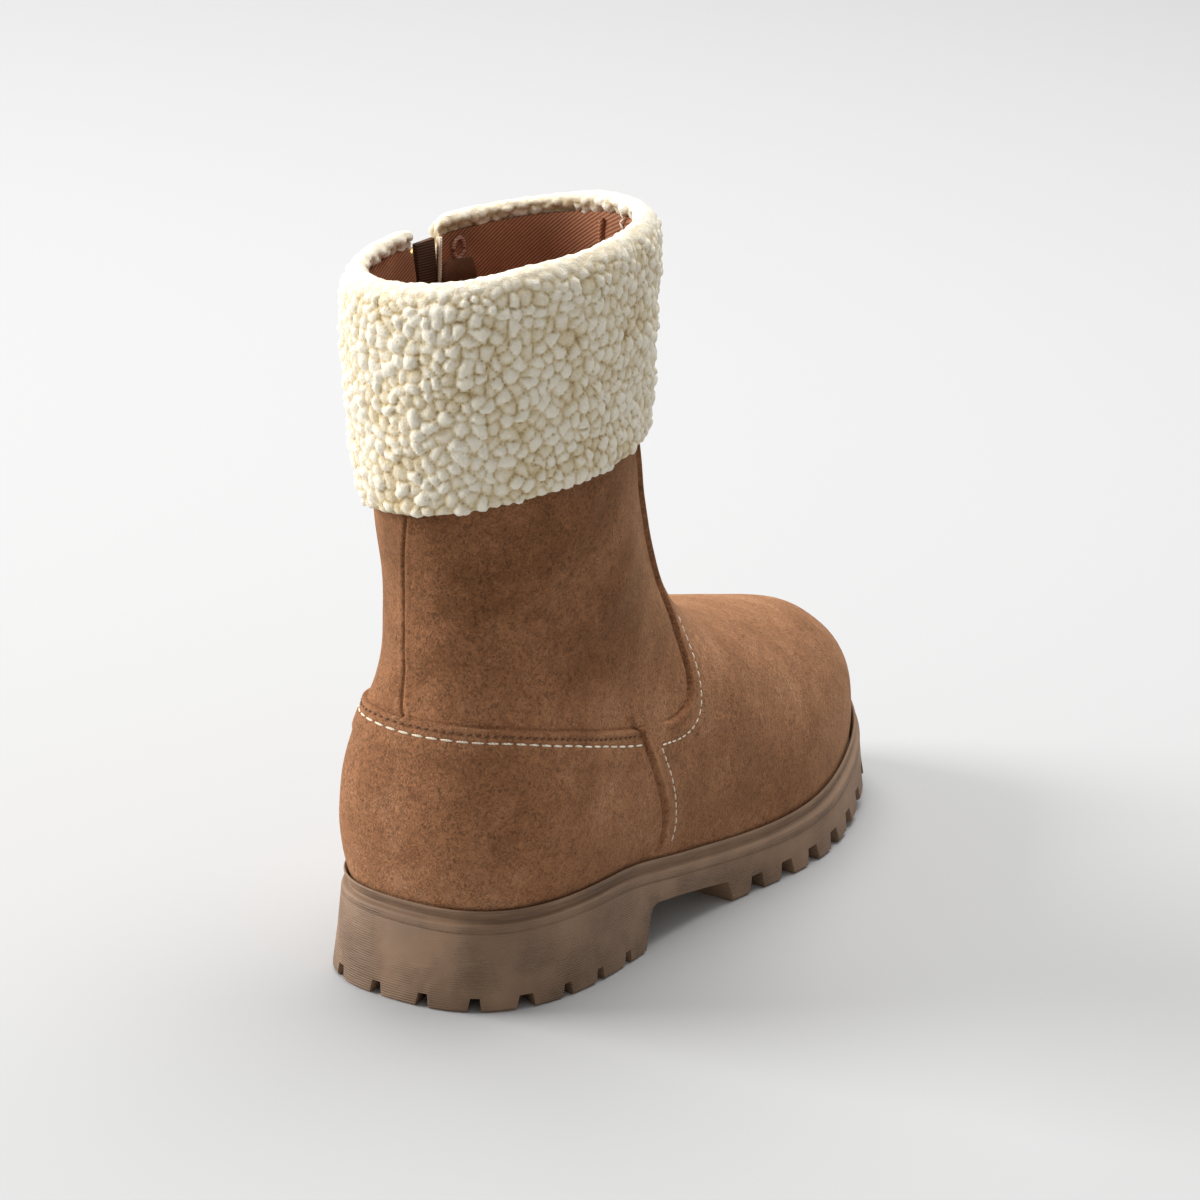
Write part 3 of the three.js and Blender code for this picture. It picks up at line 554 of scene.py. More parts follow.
def bevelled(bm, edges, offset, segments=2, clamp=True):
    """Rounds some of a bmesh's edges."""
    bmesh.ops.bevel(bm, geom=edges, offset=offset, offset_type="OFFSET", segments=segments,
                    profile=0.5, affect="EDGES", clamp_overlap=clamp, material=-1)


def sharp_edges(bm, degrees):
    """The edges where two faces meet at more than this angle."""
    return [edge for edge in bm.edges if edge.calc_face_angle(0) > math.radians(degrees)]


def bead(bm, middle, along, normal, size, turned=Matrix.Identity(4)):
    """Adds a slim bead on a surface, with its half sizes along, across and off it."""
    turn = Matrix((along, normal.cross(along).normalized(), normal)).transposed().to_4x4()
    return bmesh.ops.create_uvsphere(
        bm, u_segments=8, v_segments=6, radius=1.0,
        matrix=Matrix.Translation(middle) @ turn @ Matrix.Diagonal((*size, 1)) @ turned)


def finished(name, bm, materials, body="boot", stands_for=(), sharp=None):
    """Makes the object of a piece from its bmesh, puts it under its body and hides the CAD parts
    it stands for.
    """
    mesh = bpy.data.meshes.new(name)
    bm.to_mesh(mesh)
    bm.free()
    mesh.shade_smooth()
    if sharp is not None:
        mesh.set_sharp_from_angle(angle=math.radians(sharp))
    piece = bpy.data.objects.new(name, mesh)
    bpy.context.scene.collection.objects.link(piece)
    for material in materials:
        mesh.materials.append(material)
    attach(piece, body)
    if stands_for:
        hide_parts(*stands_for)
    return piece


def spread(points, step):
    """Points along a smooth line through the given ones, a step apart, in metres."""
    knots = np.array([list(p) for p in points], dtype=float)
    lengths = np.concatenate([[0], np.cumsum(np.linalg.norm(np.diff(knots, axis=0), axis=1))])
    padded = np.vstack([2 * knots[0] - knots[1], knots, 2 * knots[-1] - knots[-2]])
    count = max(2, int(round(lengths[-1] / step)) + 1)
    dense = []
    for s in np.linspace(0, lengths[-1], count * 4):
        i = min(max(int(np.searchsorted(lengths, s)) - 1, 0), len(knots) - 2)
        t = (s - lengths[i]) / (lengths[i + 1] - lengths[i])
        a, b, c, d = padded[i:i + 4]
        dense.append(0.5 * (2 * b + (c - a) * t + (2 * a - 5 * b + 4 * c - d) * t ** 2
                            + (3 * b - a - 3 * c + d) * t ** 3))
    dense = np.array(dense)
    run = np.concatenate([[0], np.cumsum(np.linalg.norm(np.diff(dense, axis=0), axis=1))])
    even = np.linspace(0, run[-1], count)
    return np.column_stack([np.interp(even, run, dense[:, k]) for k in range(3)])


class Track:
    """A line laid on a surface, with the surface's normal and the side direction at each point."""

    def __init__(self, points, surface, step=0.8 * MM):
        self.points = []
        self.normals = []
        rough = spread(points, step)
        for point in rough:
            place, normal, _, _ = surface.find_nearest(Vector(point))
            self.points.append(place)
            self.normals.append(normal)
        self.points = np.array(self.points)
        self.normals = np.array(self.normals)
        for _ in range(3):
            self.normals[1:-1] = (self.normals[:-2] + self.normals[1:-1] * 2
                                  + self.normals[2:]) / 4
            self.points[1:-1] = (self.points[:-2] + self.points[1:-1] * 2
                                 + self.points[2:]) / 4
        self.normals /= np.linalg.norm(self.normals, axis=1)[:, None]
        self.along = np.gradient(self.points, axis=0)
        self.along /= np.linalg.norm(self.along, axis=1)[:, None]
        self.side = np.cross(self.normals, self.along)
        run = np.linalg.norm(np.diff(self.points, axis=0), axis=1)
        self.run = np.concatenate([[0], np.cumsum(run)])

    def at(self, s):
        """Place, tangent, normal and side at a distance along the line."""
        values = []
        for table in (self.points, self.along, self.normals, self.side):
            values.append(Vector([np.interp(s, self.run, table[:, k]) for k in range(3)]))
        return values

    def measure(self, places, reach):
        """For each place: its distance to the line, signed towards the side, and how far along
        the nearest point is. Places further off than reach get reach and -1."""
        low = self.points.min(axis=0) - reach
        high = self.points.max(axis=0) + reach
        near = np.where(np.all((places > low) & (places < high), axis=1))[0]
        signed = np.full(len(places), reach)
        along = np.full(len(places), -1.0)
        for start in range(0, len(near), 4000):
            chosen = near[start:start + 4000]
            offset = places[chosen][:, None, :] - self.points[None, :, :]
            distance = np.einsum("ijk,ijk->ij", offset, offset)
            closest = distance.argmin(axis=1)
            rows = np.arange(len(chosen))
            least = np.sqrt(distance[rows, closest])
            gap = offset[rows, closest]
            sign = np.sign(np.einsum("ij,ij->i", gap, self.side[closest]))
            inside = least < reach
            signed[chosen[inside]] = (least * sign)[inside]
            along[chosen[inside]] = self.run[closest][inside]
        return signed, along


def step_up(x):
    """0 below 0, 1 above 1, and smooth between."""
    x = np.clip(x, 0, 1)
    return x * x * (3 - 2 * x)


def hump(x, width):
    """A soft rise of height 1 round 0."""
    return np.exp(-(x / width) ** 2)


def inward(point):
    """The direction from a point to the nearest part of the line through the hollow."""
    best = None
    for first, second in zip(HOLLOW_LINE, HOLLOW_LINE[1:]):
        span = second - first
        t = min(1.0, max(0.0, (point - first).dot(span) / span.length_squared))
        gap = first + span * t - point
        if best is None or gap.length < best.length:
            best = gap
    return best


def beside(surface, side, table):
    """Points on the outer or inner side of the upper, from its side view's y and z."""
    points = []
    for y, z in table:
        start = Vector((0.12 * side, y * MM, z * MM))
        hit = surface.ray_cast(start, Vector((-side, 0, 0)))[0]
        if hit is None:
            raise RuntimeError(f"no upper beside y {y} z {z}")
        points.append(hit)
    return points


def round_heel(surface, column):
    """Points on the upper round the heel, from the band's table."""
    points = []
    for row in BAND:
        turn = math.radians(row[0])
        height = row[column] * MM
        away = Vector((math.cos(turn), -math.sin(turn), 0))
        start = Vector((BAND_AXIS[0], BAND_AXIS[1], height)) + away * 0.15
        hit = surface.ray_cast(start, -away)[0]
        if hit is None:
            raise RuntimeError(f"no upper at turn {row[0]}")
        points.append(hit)
    return points


def up_the_back(surface):
    """Points on the upper up the seam at its back."""
    points = []
    for x, z in BACK_SEAM:
        points.append(surface.ray_cast(Vector((x * MM, -0.3, z * MM)), Vector((0, 1, 0)))[0])
    return points


def stitch_row(bm, track, pitch, length, thickness, sink=0.0, start=0.0, end=None, lean=0.0):
    """Adds a row of stitches, each a slim bead that dips into the suede at its ends."""
    last = track.run[-1] if end is None else end
    count = int((last - start) / pitch)
    for i in range(count):
        place, along, normal, side = track.at(start + (i + 0.5) * pitch)
        along = (along + side * lean).normalized()
        bead(bm, place + normal * (thickness * 0.2 - sink), along, normal,
             (length / 2, thickness / 2, thickness / 2), Matrix.Rotation(math.pi / 2, 4, "Y"))


def outside_of(bm):
    """The outside faces of a hollow piece, by the line through its hollow."""
    chosen = []
    for face in bm.faces:
        if face.normal.dot(inward(face.calc_center_median())) < 0:
            chosen.append(face)
    return chosen


class SuedeSettings(bpy.types.PropertyGroup):
    """What a user would change in the suede upper."""

    light: bpy.props.StringProperty(
        name="Light nap", description="Colour of brushed-up suede, sRGB hex", default="#d39d75")
    middle: bpy.props.StringProperty(
        name="Suede", description="Main colour of the suede, sRGB hex", default="#b98059")
    dark: bpy.props.StringProperty(
        name="Dark nap", description="Colour of laid-down suede, sRGB hex", default="#94623f")
    overlap: bpy.props.FloatProperty(
        name="Overlap", description="How far the front piece stands over the side panels",
        default=1.1 * MM, subtype="DISTANCE", unit="LENGTH")
    band_stitch: bpy.props.FloatProperty(
        name="Band stitch pitch", description="Spacing of the white stitches round the counter",
        default=5.0 * MM, subtype="DISTANCE", unit="LENGTH")
    front_stitch: bpy.props.FloatProperty(
        name="Front stitch pitch", description="Spacing of the white stitches on the front piece",
        default=3.2 * MM, subtype="DISTANCE", unit="LENGTH")
    thread: bpy.props.StringProperty(
        name="Thread", description="Colour of the contrast thread, sRGB hex", default="#f1e6d4")


class FleeceSettings(bpy.types.PropertyGroup):
    """What a user would change in the sheepskin cuff."""

    curl: bpy.props.StringProperty(
        name="Curl", description="Colour of the tops of the locks, sRGB hex", default="#f5eddb")
    # The gap colour is painted shade down between the locks.
    gap: bpy.props.StringProperty(
        name="Gap", description="Colour between the locks, sRGB hex", default="#a98c5c")
    lock_size: bpy.props.FloatProperty(
        name="Lock size", description="Usual distance between the middles of two locks",
        default=5.2 * MM, subtype="DISTANCE", unit="LENGTH")
    relief: bpy.props.FloatProperty(
        name="Relief", description="Height of a lock over the gaps", default=2.1 * MM,
        subtype="DISTANCE", unit="LENGTH")
    seed: bpy.props.IntProperty(
        name="Seed", description="Which layout of locks", default=7)


class SoleSettings(bpy.types.PropertyGroup):
    """What a user would change in the sole and its welt."""

    light: bpy.props.StringProperty(
        name="Sole light", description="Lighter tone of the sole, sRGB hex", default="#92755c")
    dark: bpy.props.StringProperty(
        name="Sole dark", description="Darker tone of the sole, sRGB hex", default="#7b614c")
    bead: bpy.props.StringProperty(
        name="Bead", description="Colour of the bead and welt, sRGB hex", default="#6f5442")
    stitch_pitch: bpy.props.FloatProperty(
        name="Welt stitch pitch", description="Spacing of the moulded stitches",
        default=6.2 * MM, subtype="DISTANCE", unit="LENGTH")
    edge: bpy.props.FloatProperty(
        name="Edge", description="Rounding of the sole's moulded edges", default=0.45 * MM,
        subtype="DISTANCE", unit="LENGTH")


class ZipSettings(bpy.types.PropertyGroup):
    """What a user would change in the zip."""

    tooth_pitch: bpy.props.FloatProperty(
        name="Tooth pitch", description="Spacing of the teeth on one side", default=3.0 * MM,
        subtype="DISTANCE", unit="LENGTH")
    bright: bpy.props.StringProperty(
        name="Brass", description="Bright tone of the plated brass, sRGB hex", default="#c9a86e")
    dull: bpy.props.StringProperty(
        name="Dull brass", description="Dull tone of the plated brass, sRGB hex",
        default="#9a7b4c")


class StudioSettings(bpy.types.PropertyGroup):
    """What a user would change in the studio."""

    card: bpy.props.StringProperty(
        name="Card", description="Colour of the floor and backdrop, sRGB hex", default="#b4b4b4")
    lens: bpy.props.FloatProperty(
        name="Lens", description="Focal length of the camera", default=169.05,
        subtype="DISTANCE_CAMERA")


def suede_material():
    """The suede, made once."""
    chosen = bpy.context.scene.boot_suede
    return bpy.data.materials.get("split suede") or suede_finish(
        "split suede", chosen.light, chosen.middle, chosen.dark)


def twill_material():
    """The lining, made once."""
    return bpy.data.materials.get("cotton twill") or twill_finish(
        "cotton twill", "#b57c5c", "#7a4c36")


def fleece_material():
    """The sheepskin pile, made once."""
    chosen = bpy.context.scene.boot_fleece
    return bpy.data.materials.get("curled sheepskin") or fleece_finish(
        "curled sheepskin", chosen.curl, chosen.gap)


def thread_material():
    """The contrast thread, made once."""
    chosen = bpy.context.scene.boot_suede
    return bpy.data.materials.get("cotton thread") or thread_finish(
        "cotton thread", chosen.thread, "#cdbb9f")


def brass_material():
    """The zip's plated brass, made once."""
    chosen = bpy.context.scene.boot_zip
    return bpy.data.materials.get("plated brass") or brass_finish(
        "plated brass", chosen.bright, chosen.dull)


def shell_surface():
    """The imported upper, smoothed, as a surface to lay seams on."""
    bm = subdivided(merged_copy("upper"), 1)
    tree = BVHTree.FromBMesh(bm)
    bm.free()
    return tree


def upper_tracks(surface):
    """Every seam of the upper as a track, by name."""
    tracks = {"back": Track(up_the_back(surface), surface)}
    tracks["band top"] = Track(round_heel(surface, 1), surface)
    tracks["band low"] = Track(round_heel(surface, 2), surface)
    for side, word in ((1, "outer"), (-1, "inner")):
        for name, table in (("panel", PANEL_EDGE), ("front stitches", FRONT_STITCHES),
                            ("foot", FOOT_EDGE), ("foot stitches", FOOT_STITCHES)):
            tracks[f"{name} {word}"] = Track(beside(surface, side, table), surface)
    return tracks


def seam_relief(places, tracks, overlap):
    """How far each place on the upper's outside moves out, in metres, for its seams."""
    reach = 12 * MM
    mm = 1 / MM
    out = np.zeros(len(places))
    # The counter band: a raised strip, its top edge a small rolled lip over the shaft.
    top, top_run = tracks["band top"].measure(places, reach)
    low, _ = tracks["band low"].measure(places, reach)
    near = top_run >= 0
    ends = step_up((top_run - 0.5 * MM) / (3 * MM)) * step_up(
        (tracks["band top"].run[-1] - 0.5 * MM - top_run) / (3 * MM))
    down = top * mm
    strip = 0.95 * step_up(down / 0.9) * (1 - 0.75 * step_up((down - 4) / 18))
    lip = 0.35 * hump(down - 1.2, 0.9)
    roll = -0.35 * hump(down + 0.35, 0.45) - 0.3 * hump(down - 2.7, 0.5)
    out += np.where(near, (strip + lip + roll) * ends, 0)
    out += np.where(np.abs(low) < reach, -0.5 * hump(low * mm, 0.55) * ends, 0)
    for word in ("outer", "inner"):
        # The side panel's edge under the front piece, which stands over it on a rolled lip.
        edge, run = tracks[f"panel {word}"].measure(places, reach)
        edge = edge * mm * (1 if word == "outer" else -1)
        last = tracks[f"panel {word}"].run[-1]
        soft = step_up((last - run) / (22 * MM))
        near = run >= 0
        front = (overlap * mm * step_up(edge / 0.9) * (1 - 0.45 * step_up((edge - 3) / 8))
                 + 0.4 * hump(edge - 1.5, 1.0) - 0.75 * hump(edge + 0.3, 0.55)
                 - 0.5 * hump(edge - 3.1, 0.6))
        out += np.where(near, front * soft, 0)
        rear, run = tracks[f"foot {word}"].measure(places, reach)
        rear = rear * mm * (1 if word == "outer" else -1)
        near = run >= 0
        foot = (0.9 * step_up(rear / 0.8) * (1 - 0.75 * step_up((rear - 3) / 9))
                + 0.35 * hump(rear - 1.4, 0.9) - 0.75 * hump(rear + 0.3, 0.6))
        out += np.where(near, foot, 0)
        for name, deep in (("front stitches", 0.32), ("foot stitches", 0.32)):
            row, run = tracks[f"{name} {word}"].measure(places, reach)
            out += np.where(run >= 0, -deep * hump(row * mm, 0.6), 0)
    seam, run = tracks["back"].measure(places, reach)
    out += np.where(run >= 0, (-0.7 * hump(seam * mm, 0.55)
                               + 0.22 * hump(np.abs(seam * mm) - 1.6, 1.1)), 0)
    return out * MM


# Soft folds in the suede. Columns: middle x, y, z, length, width and depth in
# millimetres, then the direction along the fold. A negative depth is a ridge.
FOLDS = [
    (24.0, -8.0, 92.0, 22.0, 4.0, 1.1, (0.35, 0.75, -0.45)),
    (14.0, -1.0, 92.0, 20.0, 4.5, 0.9, (0.8, 0.5, -0.3)),
    (29.0, -6.0, 80.0, 24.0, 5.0, 0.8, (0.15, 0.8, -0.55)),
    (0.0, 2.0, 88.0, 22.0, 5.0, 0.8, (1.0, 0.1, 0.0)),
    (-14.0, -1.0, 92.0, 20.0, 4.5, 0.9, (-0.8, 0.5, -0.3)),
    (-24.0, -8.0, 90.0, 22.0, 4.0, 1.0, (-0.35, 0.75, -0.45)),
    (12.0, -128.0, 112.0, 30.0, 9.0, 1.3, (0.95, 0.3, 0.15)),
    (-18.0, -122.0, 110.0, 26.0, 9.0, 1.2, (-0.9, 0.4, 0.1)),
    (34.0, -92.0, 108.0, 34.0, 10.0, 1.4, (0.2, 0.95, 0.2)),
    (33.0, -70.0, 128.0, 40.0, 12.0, -1.2, (0.1, 0.8, 0.6)),
    (28.0, -100.0, 140.0, 44.0, 12.0, -0.9, (0.3, 0.5, 0.8)),
    (40.0, -75.0, 62.0, 30.0, 10.0, 0.8, (0.1, 0.95, -0.3)),
    (-36.0, -90.0, 108.0, 34.0, 10.0, 1.2, (-0.2, 0.95, 0.2)),
    (40.0, 30.0, 48.0, 34.0, 10.0, 0.7, (0.1, 0.9, -0.2)),
    (20.0, 40.0, 74.0, 30.0, 9.0, 0.7, (0.7, 0.7, -0.2)),
    (-20.0, 40.0, 74.0, 30.0, 9.0, 0.7, (-0.7, 0.7, -0.2)),
]


def fold_relief(places):
    """How far the soft folds move each place, in metres."""
    out = np.zeros(len(places))
    for x, y, z, length, width, depth, direction in FOLDS:
        middle = np.array([x, y, z]) * MM
        along = np.array(direction) / np.linalg.norm(direction)
        gap = places - middle
        run = gap @ along
        off = np.linalg.norm(gap - run[:, None] * along, axis=1)
        out -= depth * MM * hump(run, length * MM / 2) * hump(off, width * MM / 2)
    return out


def build_upper():
    """The suede upper with its lining as the inside of one hollow shell."""
    chosen = bpy.context.scene.boot_suede
    surface = shell_surface()
    tracks = upper_tracks(surface)
    bm = subdivided(merged_copy("upper"), 2)
    bm.faces.ensure_lookup_table()
    outside = set(outside_of(bm))
    for face in bm.faces:
        face.material_index = 0 if face in outside else 1
    # Finer faces along the seams, in three passes.
    for width in (4.4, 2.6, 1.4):
        bm.verts.index_update()
        places = np.array([v.co[:] for v in bm.verts])
        least = np.full(len(places), 1.0)
        for track in tracks.values():
            gap, _ = track.measure(places, 8 * MM)
            least = np.minimum(least, np.abs(gap))
        edges = []
        for edge in bm.edges:
            if all(face.material_index == 1 for face in edge.link_faces):
                continue
            first, second = edge.verts
            if min(least[first.index], least[second.index]) < width * MM:
                edges.append(edge)
        bmesh.ops.subdivide_edges(bm, edges=edges, cuts=1, use_grid_fill=True)
    outer = []
    for vert in bm.verts:
        if all(face.material_index == 0 for face in vert.link_faces):
            outer.append(vert)
    smoothed(bm, outer)
    bm.normal_update()
    places = np.array([v.co[:] for v in outer])
    normals = np.array([v.normal[:] for v in outer])
    out = seam_relief(places, tracks, chosen.overlap) + fold_relief(places)
    for i, vert in enumerate(outer):
        out[i] += 0.9 * MM * noise.noise(vert.co * 24) + 0.35 * MM * noise.noise(vert.co * 70)
    # Nothing moves where the upper goes down behind the welt or up under the cuff.
    tops = np.interp(places[:, 1], [row[0] * MM for row in SOLE_TOP],
                     [row[1] * MM for row in SOLE_TOP])
    out *= step_up((places[:, 2] - tops - 2 * MM) / (7 * MM))
    out *= 1 - step_up((places[:, 2] - CUFF_HEM) / CUFF_FADE)
    places += normals * out[:, None]
    for vert, place in zip(outer, places):
        vert.co = place
    bm.normal_update()
    moved = BVHTree.FromBMesh(bm)
    finished("suede_upper", bm, [suede_material(), twill_material()],
             stands_for=["upper"])
    return moved, tracks


def build_upper_stitches(moved, tracks):
    """The white stitches of the upper, laid in their grooves."""
    chosen = bpy.context.scene.boot_suede
    bm = bmesh.new()
    band = Track(tracks["band low"].points, moved)
    stitch_row(bm, band, chosen.band_stitch, 4.1 * MM, 0.85 * MM, sink=0.05 * MM,
               start=5 * MM, end=band.run[-1] - 5 * MM)
    for word in ("outer", "inner"):
        for name in ("front stitches", "foot stitches"):
            row = Track(tracks[f"{name} {word}"].points, moved)
            stitch_row(bm, row, chosen.front_stitch, 2.5 * MM, 0.72 * MM, sink=0.05 * MM)
    finished("contrast_stitches", bm, [thread_material()])
    tonal = bmesh.new()
    points = []
    for place, side in zip(tracks["band top"].points, tracks["band top"].side):
        points.append(place + side * 1.9 * MM)
    upper_row = Track(points, moved)
    stitch_row(tonal, upper_row, 2.9 * MM, 1.9 * MM, 0.7 * MM, sink=0.02 * MM, lean=0.3,
               start=6 * MM, end=upper_row.run[-1] - 6 * MM)
    finished("tonal_stitches", tonal, [
        thread_finish("tan thread", "#6f4a32", "#4a3020")])


class BOOT_OT_upper(bpy.types.Operator):
    """Builds the suede upper, its lining and its stitches"""

    bl_idname = "boot.upper"
    bl_label = "Upper"

    def execute(self, context):
        moved, tracks = build_upper()
        build_upper_stitches(moved, tracks)
        return {"FINISHED"}


def is_clear(taken, cell, place, spacing):
    """Whether no lock's middle in the cells round this one is nearer than spacing."""
    for dx, dy, dz in itertools.product((-1, 0, 1), repeat=3):
        for other in taken.get((cell[0] + dx, cell[1] + dy, cell[2] + dz), ()):
            if np.linalg.norm(other - place) < spacing:
                return False
    return True


def lock_heights(places, amount, chosen):
    """For each place on the cuff: its height over a gap, 0 to 1, from a layout of locks."""
    random = np.random.default_rng(chosen.seed)
    order = random.permutation(len(places))
    seeds = []
    tallness = []
    taken = {}
    cell_size = chosen.lock_size * 0.9
    for index in order:
        place = places[index]
        spacing = chosen.lock_size * (0.58 + 0.5 * random.random()) * (
            0.62 + 0.38 * amount[index])
        cell = tuple((place / cell_size).astype(int))
        if is_clear(taken, cell, place, spacing):
            taken.setdefault(cell, []).append(place)
            seeds.append(place)
            tallness.append(0.62 + 0.6 * random.random())
    tree = KDTree(len(seeds))
    for i, seed in enumerate(seeds):
        tree.insert(Vector(seed), i)
    tree.balance()
    heights = np.zeros(len(places))
    for i, place in enumerate(places):
        spot = Vector(place)
        warp = noise.noise_vector(spot * 300) * 1.2 * MM + noise.noise_vector(
            spot * 110 + Vector((5, 3, 1))) * 1.6 * MM
        nearest = tree.find_n(spot + warp, 2)
        first, second = nearest[0][2], nearest[1][2]
        t = (second - first) / (second + first + 1e-9)
        t = min(1.0, t * 1.35)
        heights[i] = math.sqrt(max(0.0, 1 - (1 - t) ** 2)) * tallness[nearest[0][1]]
    return heights


def build_cuff():
    """The folded cuff: its CAD shape with the sheepskin's locks raised on it."""
    chosen = bpy.context.scene.boot_fleece
    bm = evenly_meshed(subdivided(merged_copy("cuff"), 2), 0.88 * MM)
    lock = bm.verts.layers.float.new("lock")
    for _ in range(3):
        smoothed(bm, bm.verts)
    hidden = [f for f in bm.faces if f.normal.dot(inward(f.calc_center_median())) > 0
              and f.calc_center_median().z < CUFF_INSIDE_SHOWS]
    covered = set(v for f in hidden for v in f.verts)
    shown = [v for v in bm.verts if v not in covered]
    # The fleece at the cuff's two ends closes in on the zip.
    for vert in bm.verts:
        if vert.co.x >= CUFF_ENDS_X:
            continue
        if vert.co.y < CUFF_SPLIT_Y:
            start, depth, move = REAR_END
            vert.co.y += move * step_up(1 - (start - vert.co.y) / depth)
        elif vert.co.y > CUFF_SPLIT_Y:
            start, depth, move = FRONT_END
            vert.co.y -= move * step_up(1 - (vert.co.y - start) / depth)
    bm.normal_update()
    places = np.array([v.co[:] for v in shown])
    normals = np.array([v.normal[:] for v in shown])
    # The fleece is short and fine over the fold, where the normals point up or in.
    facing = np.array([n.dot(inward(Vector(p)).normalized()) for n, p in
                       zip([v.normal for v in shown], places)])
    amount = 1 - 0.72 * step_up((normals[:, 2] + 0.15) / 0.7) * step_up((facing + 1.02) / 0.25)
    amount = np.clip(amount, 0.28, 1)
    heights = lock_heights(places, amount, chosen)
    out = (heights - 0.55) * chosen.relief * amount
    for i, place in enumerate(places):
        spot = Vector(place)
        out[i] += 0.4 * MM * noise.noise(spot * 620) + 0.8 * MM * noise.noise(spot * 60)
    places += normals * out[:, None]
    # The 'lock' attribute also sets the fleece's colour: the lower it is, the more painted shade.
    for vert in bm.verts:
        vert[lock] = 0.6
    for vert, place, height, much in zip(shown, places, heights, amount):
        vert.co = place
        vert[lock] = min(1.0, height) * much + (1 - much) * 0.75
    smoothed(bm, shown, 0.6)
    finished("sheepskin_cuff", bm, [fleece_material()], stands_for=["cuff"])


class BOOT_OT_cuff(bpy.types.Operator):
    """Builds the folded sheepskin cuff"""

    bl_idname = "boot.cuff"
    bl_label = "Cuff"

    def execute(self, context):
        build_cuff()
        return {"FINISHED"}


def sole_top(y):
    """The height of the sole's top edge at y, in metres."""
    return float(np.interp(y, [row[0] * MM for row in SOLE_TOP],
                           [row[1] * MM for row in SOLE_TOP]))


def welt_line(welt, inset):
    """Points round the welt's flange, this far in from its outer edge."""
    points = []
    for turn in np.linspace(0, math.tau, 361):
        away = Vector((math.cos(turn), math.sin(turn), 0))
        middle = Vector((0.001, 0.095 * math.sin(turn), 0))
        y = middle.y + 0.042 * away.y
        hit = None
        for _ in range(4):
            for lift in (1.9, 3.0, 0.8, 5.0, -1.0, 7.0):
                middle.z = sole_top(y) + lift * MM
                found, slope, _, _ = welt.ray_cast(middle + away * 0.2, -away)
                if found is not None and (found - middle).dot(away) > 0.02:
                    hit, normal = found, slope
                    break
            if hit is None:
                raise RuntimeError("the welt's edge was not found")
            y = hit.y
        flat = Vector((normal.x, normal.y, 0)).normalized()
        if flat.dot(away) < 0:
            flat.negate()
        points.append(hit - flat * inset)
    return points


def build_welt():
    """The welt strip with its bead, and the row of moulded stitches on it."""
    chosen = bpy.context.scene.boot_sole
    bm = subdivided(merged_copy("welt"), 2)
    strata = bm.verts.layers.float.new("strata")
    welt = BVHTree.FromBMesh(bm)
    for vert in bm.verts:
        top = sole_top(vert.co.y)
        vert[strata] = vert.co.z - top + STRATA_TOP
        # The welt is moulded on to the sole, so its underside comes down to it.
        if vert.co.z < top + WELT_FOOT:
            vert.co.z -= WELT_DROP
    for face in bm.faces:
        middle = face.calc_center_median()
        if middle.z - sole_top(middle.y) > BEAD_FROM:
            face.material_index = 1
    finished("welt_strip", bm, [sole_material(), bead_finish("moulded bead", chosen.bead,
                                                             "#7d604b")],
             stands_for=["welt"])
    line = spread(welt_line(welt, STITCH_INSET), 1.0 * MM)
    run = np.concatenate([[0], np.cumsum(np.linalg.norm(np.diff(line, axis=0), axis=1))])
    count = int(round(run[-1] / chosen.stitch_pitch))
    stitches = bmesh.new()
    strata = stitches.verts.layers.float.new("strata")
    for i in range(count):
        middle = (i + 0.5) * run[-1] / count
        for strand in range(STRANDS):
            off_middle = strand - (STRANDS - 1) / 2
            s = middle + off_middle * STRAND_GAP
            place = Vector([np.interp(s, run, line[:, k]) for k in range(3)])
            ahead = Vector([np.interp(s + 0.5 * MM, run, line[:, k]) for k in range(3)])
            hit, normal, _, _ = welt.ray_cast(place + Vector((0, 0, 0.012)),
                                              Vector((0, 0, -1)))
            if hit is None:
                continue
            along = (ahead - place).normalized()
            across = normal.cross(along).normalized()
            slant = (along + across * 0.7).normalized()
            fall = 1 - 0.14 * abs(off_middle)
            made = bead(stitches, hit + normal * 0.3 * MM, slant, normal,
                        (1.5 * MM, 0.8 * MM * fall, 0.95 * MM * fall))
            for vert in made["verts"]:
                vert[strata] = STITCH_AT
    finished("welt_stitches", stitches, [sole_material()])


def sole_material():
    """The sole's foamed rubber, made once."""
    chosen = bpy.context.scene.boot_sole
    return bpy.data.materials.get("foamed rubber") or sole_finish(
        "foamed rubber", chosen.light, chosen.dark)


def build_outsole():
    """The lugged outsole, its moulded edges rounded."""
    chosen = bpy.context.scene.boot_sole
    bm = bmesh.new()
    bm.from_mesh(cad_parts["outsole"].data)
    bmesh.ops.remove_doubles(bm, verts=bm.verts, dist=WELD)
    bmesh.ops.dissolve_limit(bm, angle_limit=math.radians(1.5), verts=bm.verts, edges=bm.edges)
    bevelled(bm, sharp_edges(bm, 35), chosen.edge)
    bmesh.ops.triangulate(bm, faces=[f for f in bm.faces if len(f.verts) > 4])
    strata = bm.verts.layers.float.new("strata")
    for vert in bm.verts:
        vert[strata] = vert.co.z - sole_top(vert.co.y) + STRATA_TOP
    finished("lug_outsole", bm, [sole_material()], stands_for=["outsole"],
             sharp=40)


def build_insole():
    """The insole, a thin padded sheet covered in twill."""
    bm = subdivided(merged_copy("insole"), 2)
    piece = finished("padded_insole", bm, [twill_material()], stands_for=["insole"])


class BOOT_OT_sole(bpy.types.Operator):
    """Builds the outsole, the welt with its stitches and the insole"""

    bl_idname = "boot.sole"
    bl_label = "Sole"

    def execute(self, context):
        build_outsole()
        build_welt()
        build_insole()
        return {"FINISHED"}


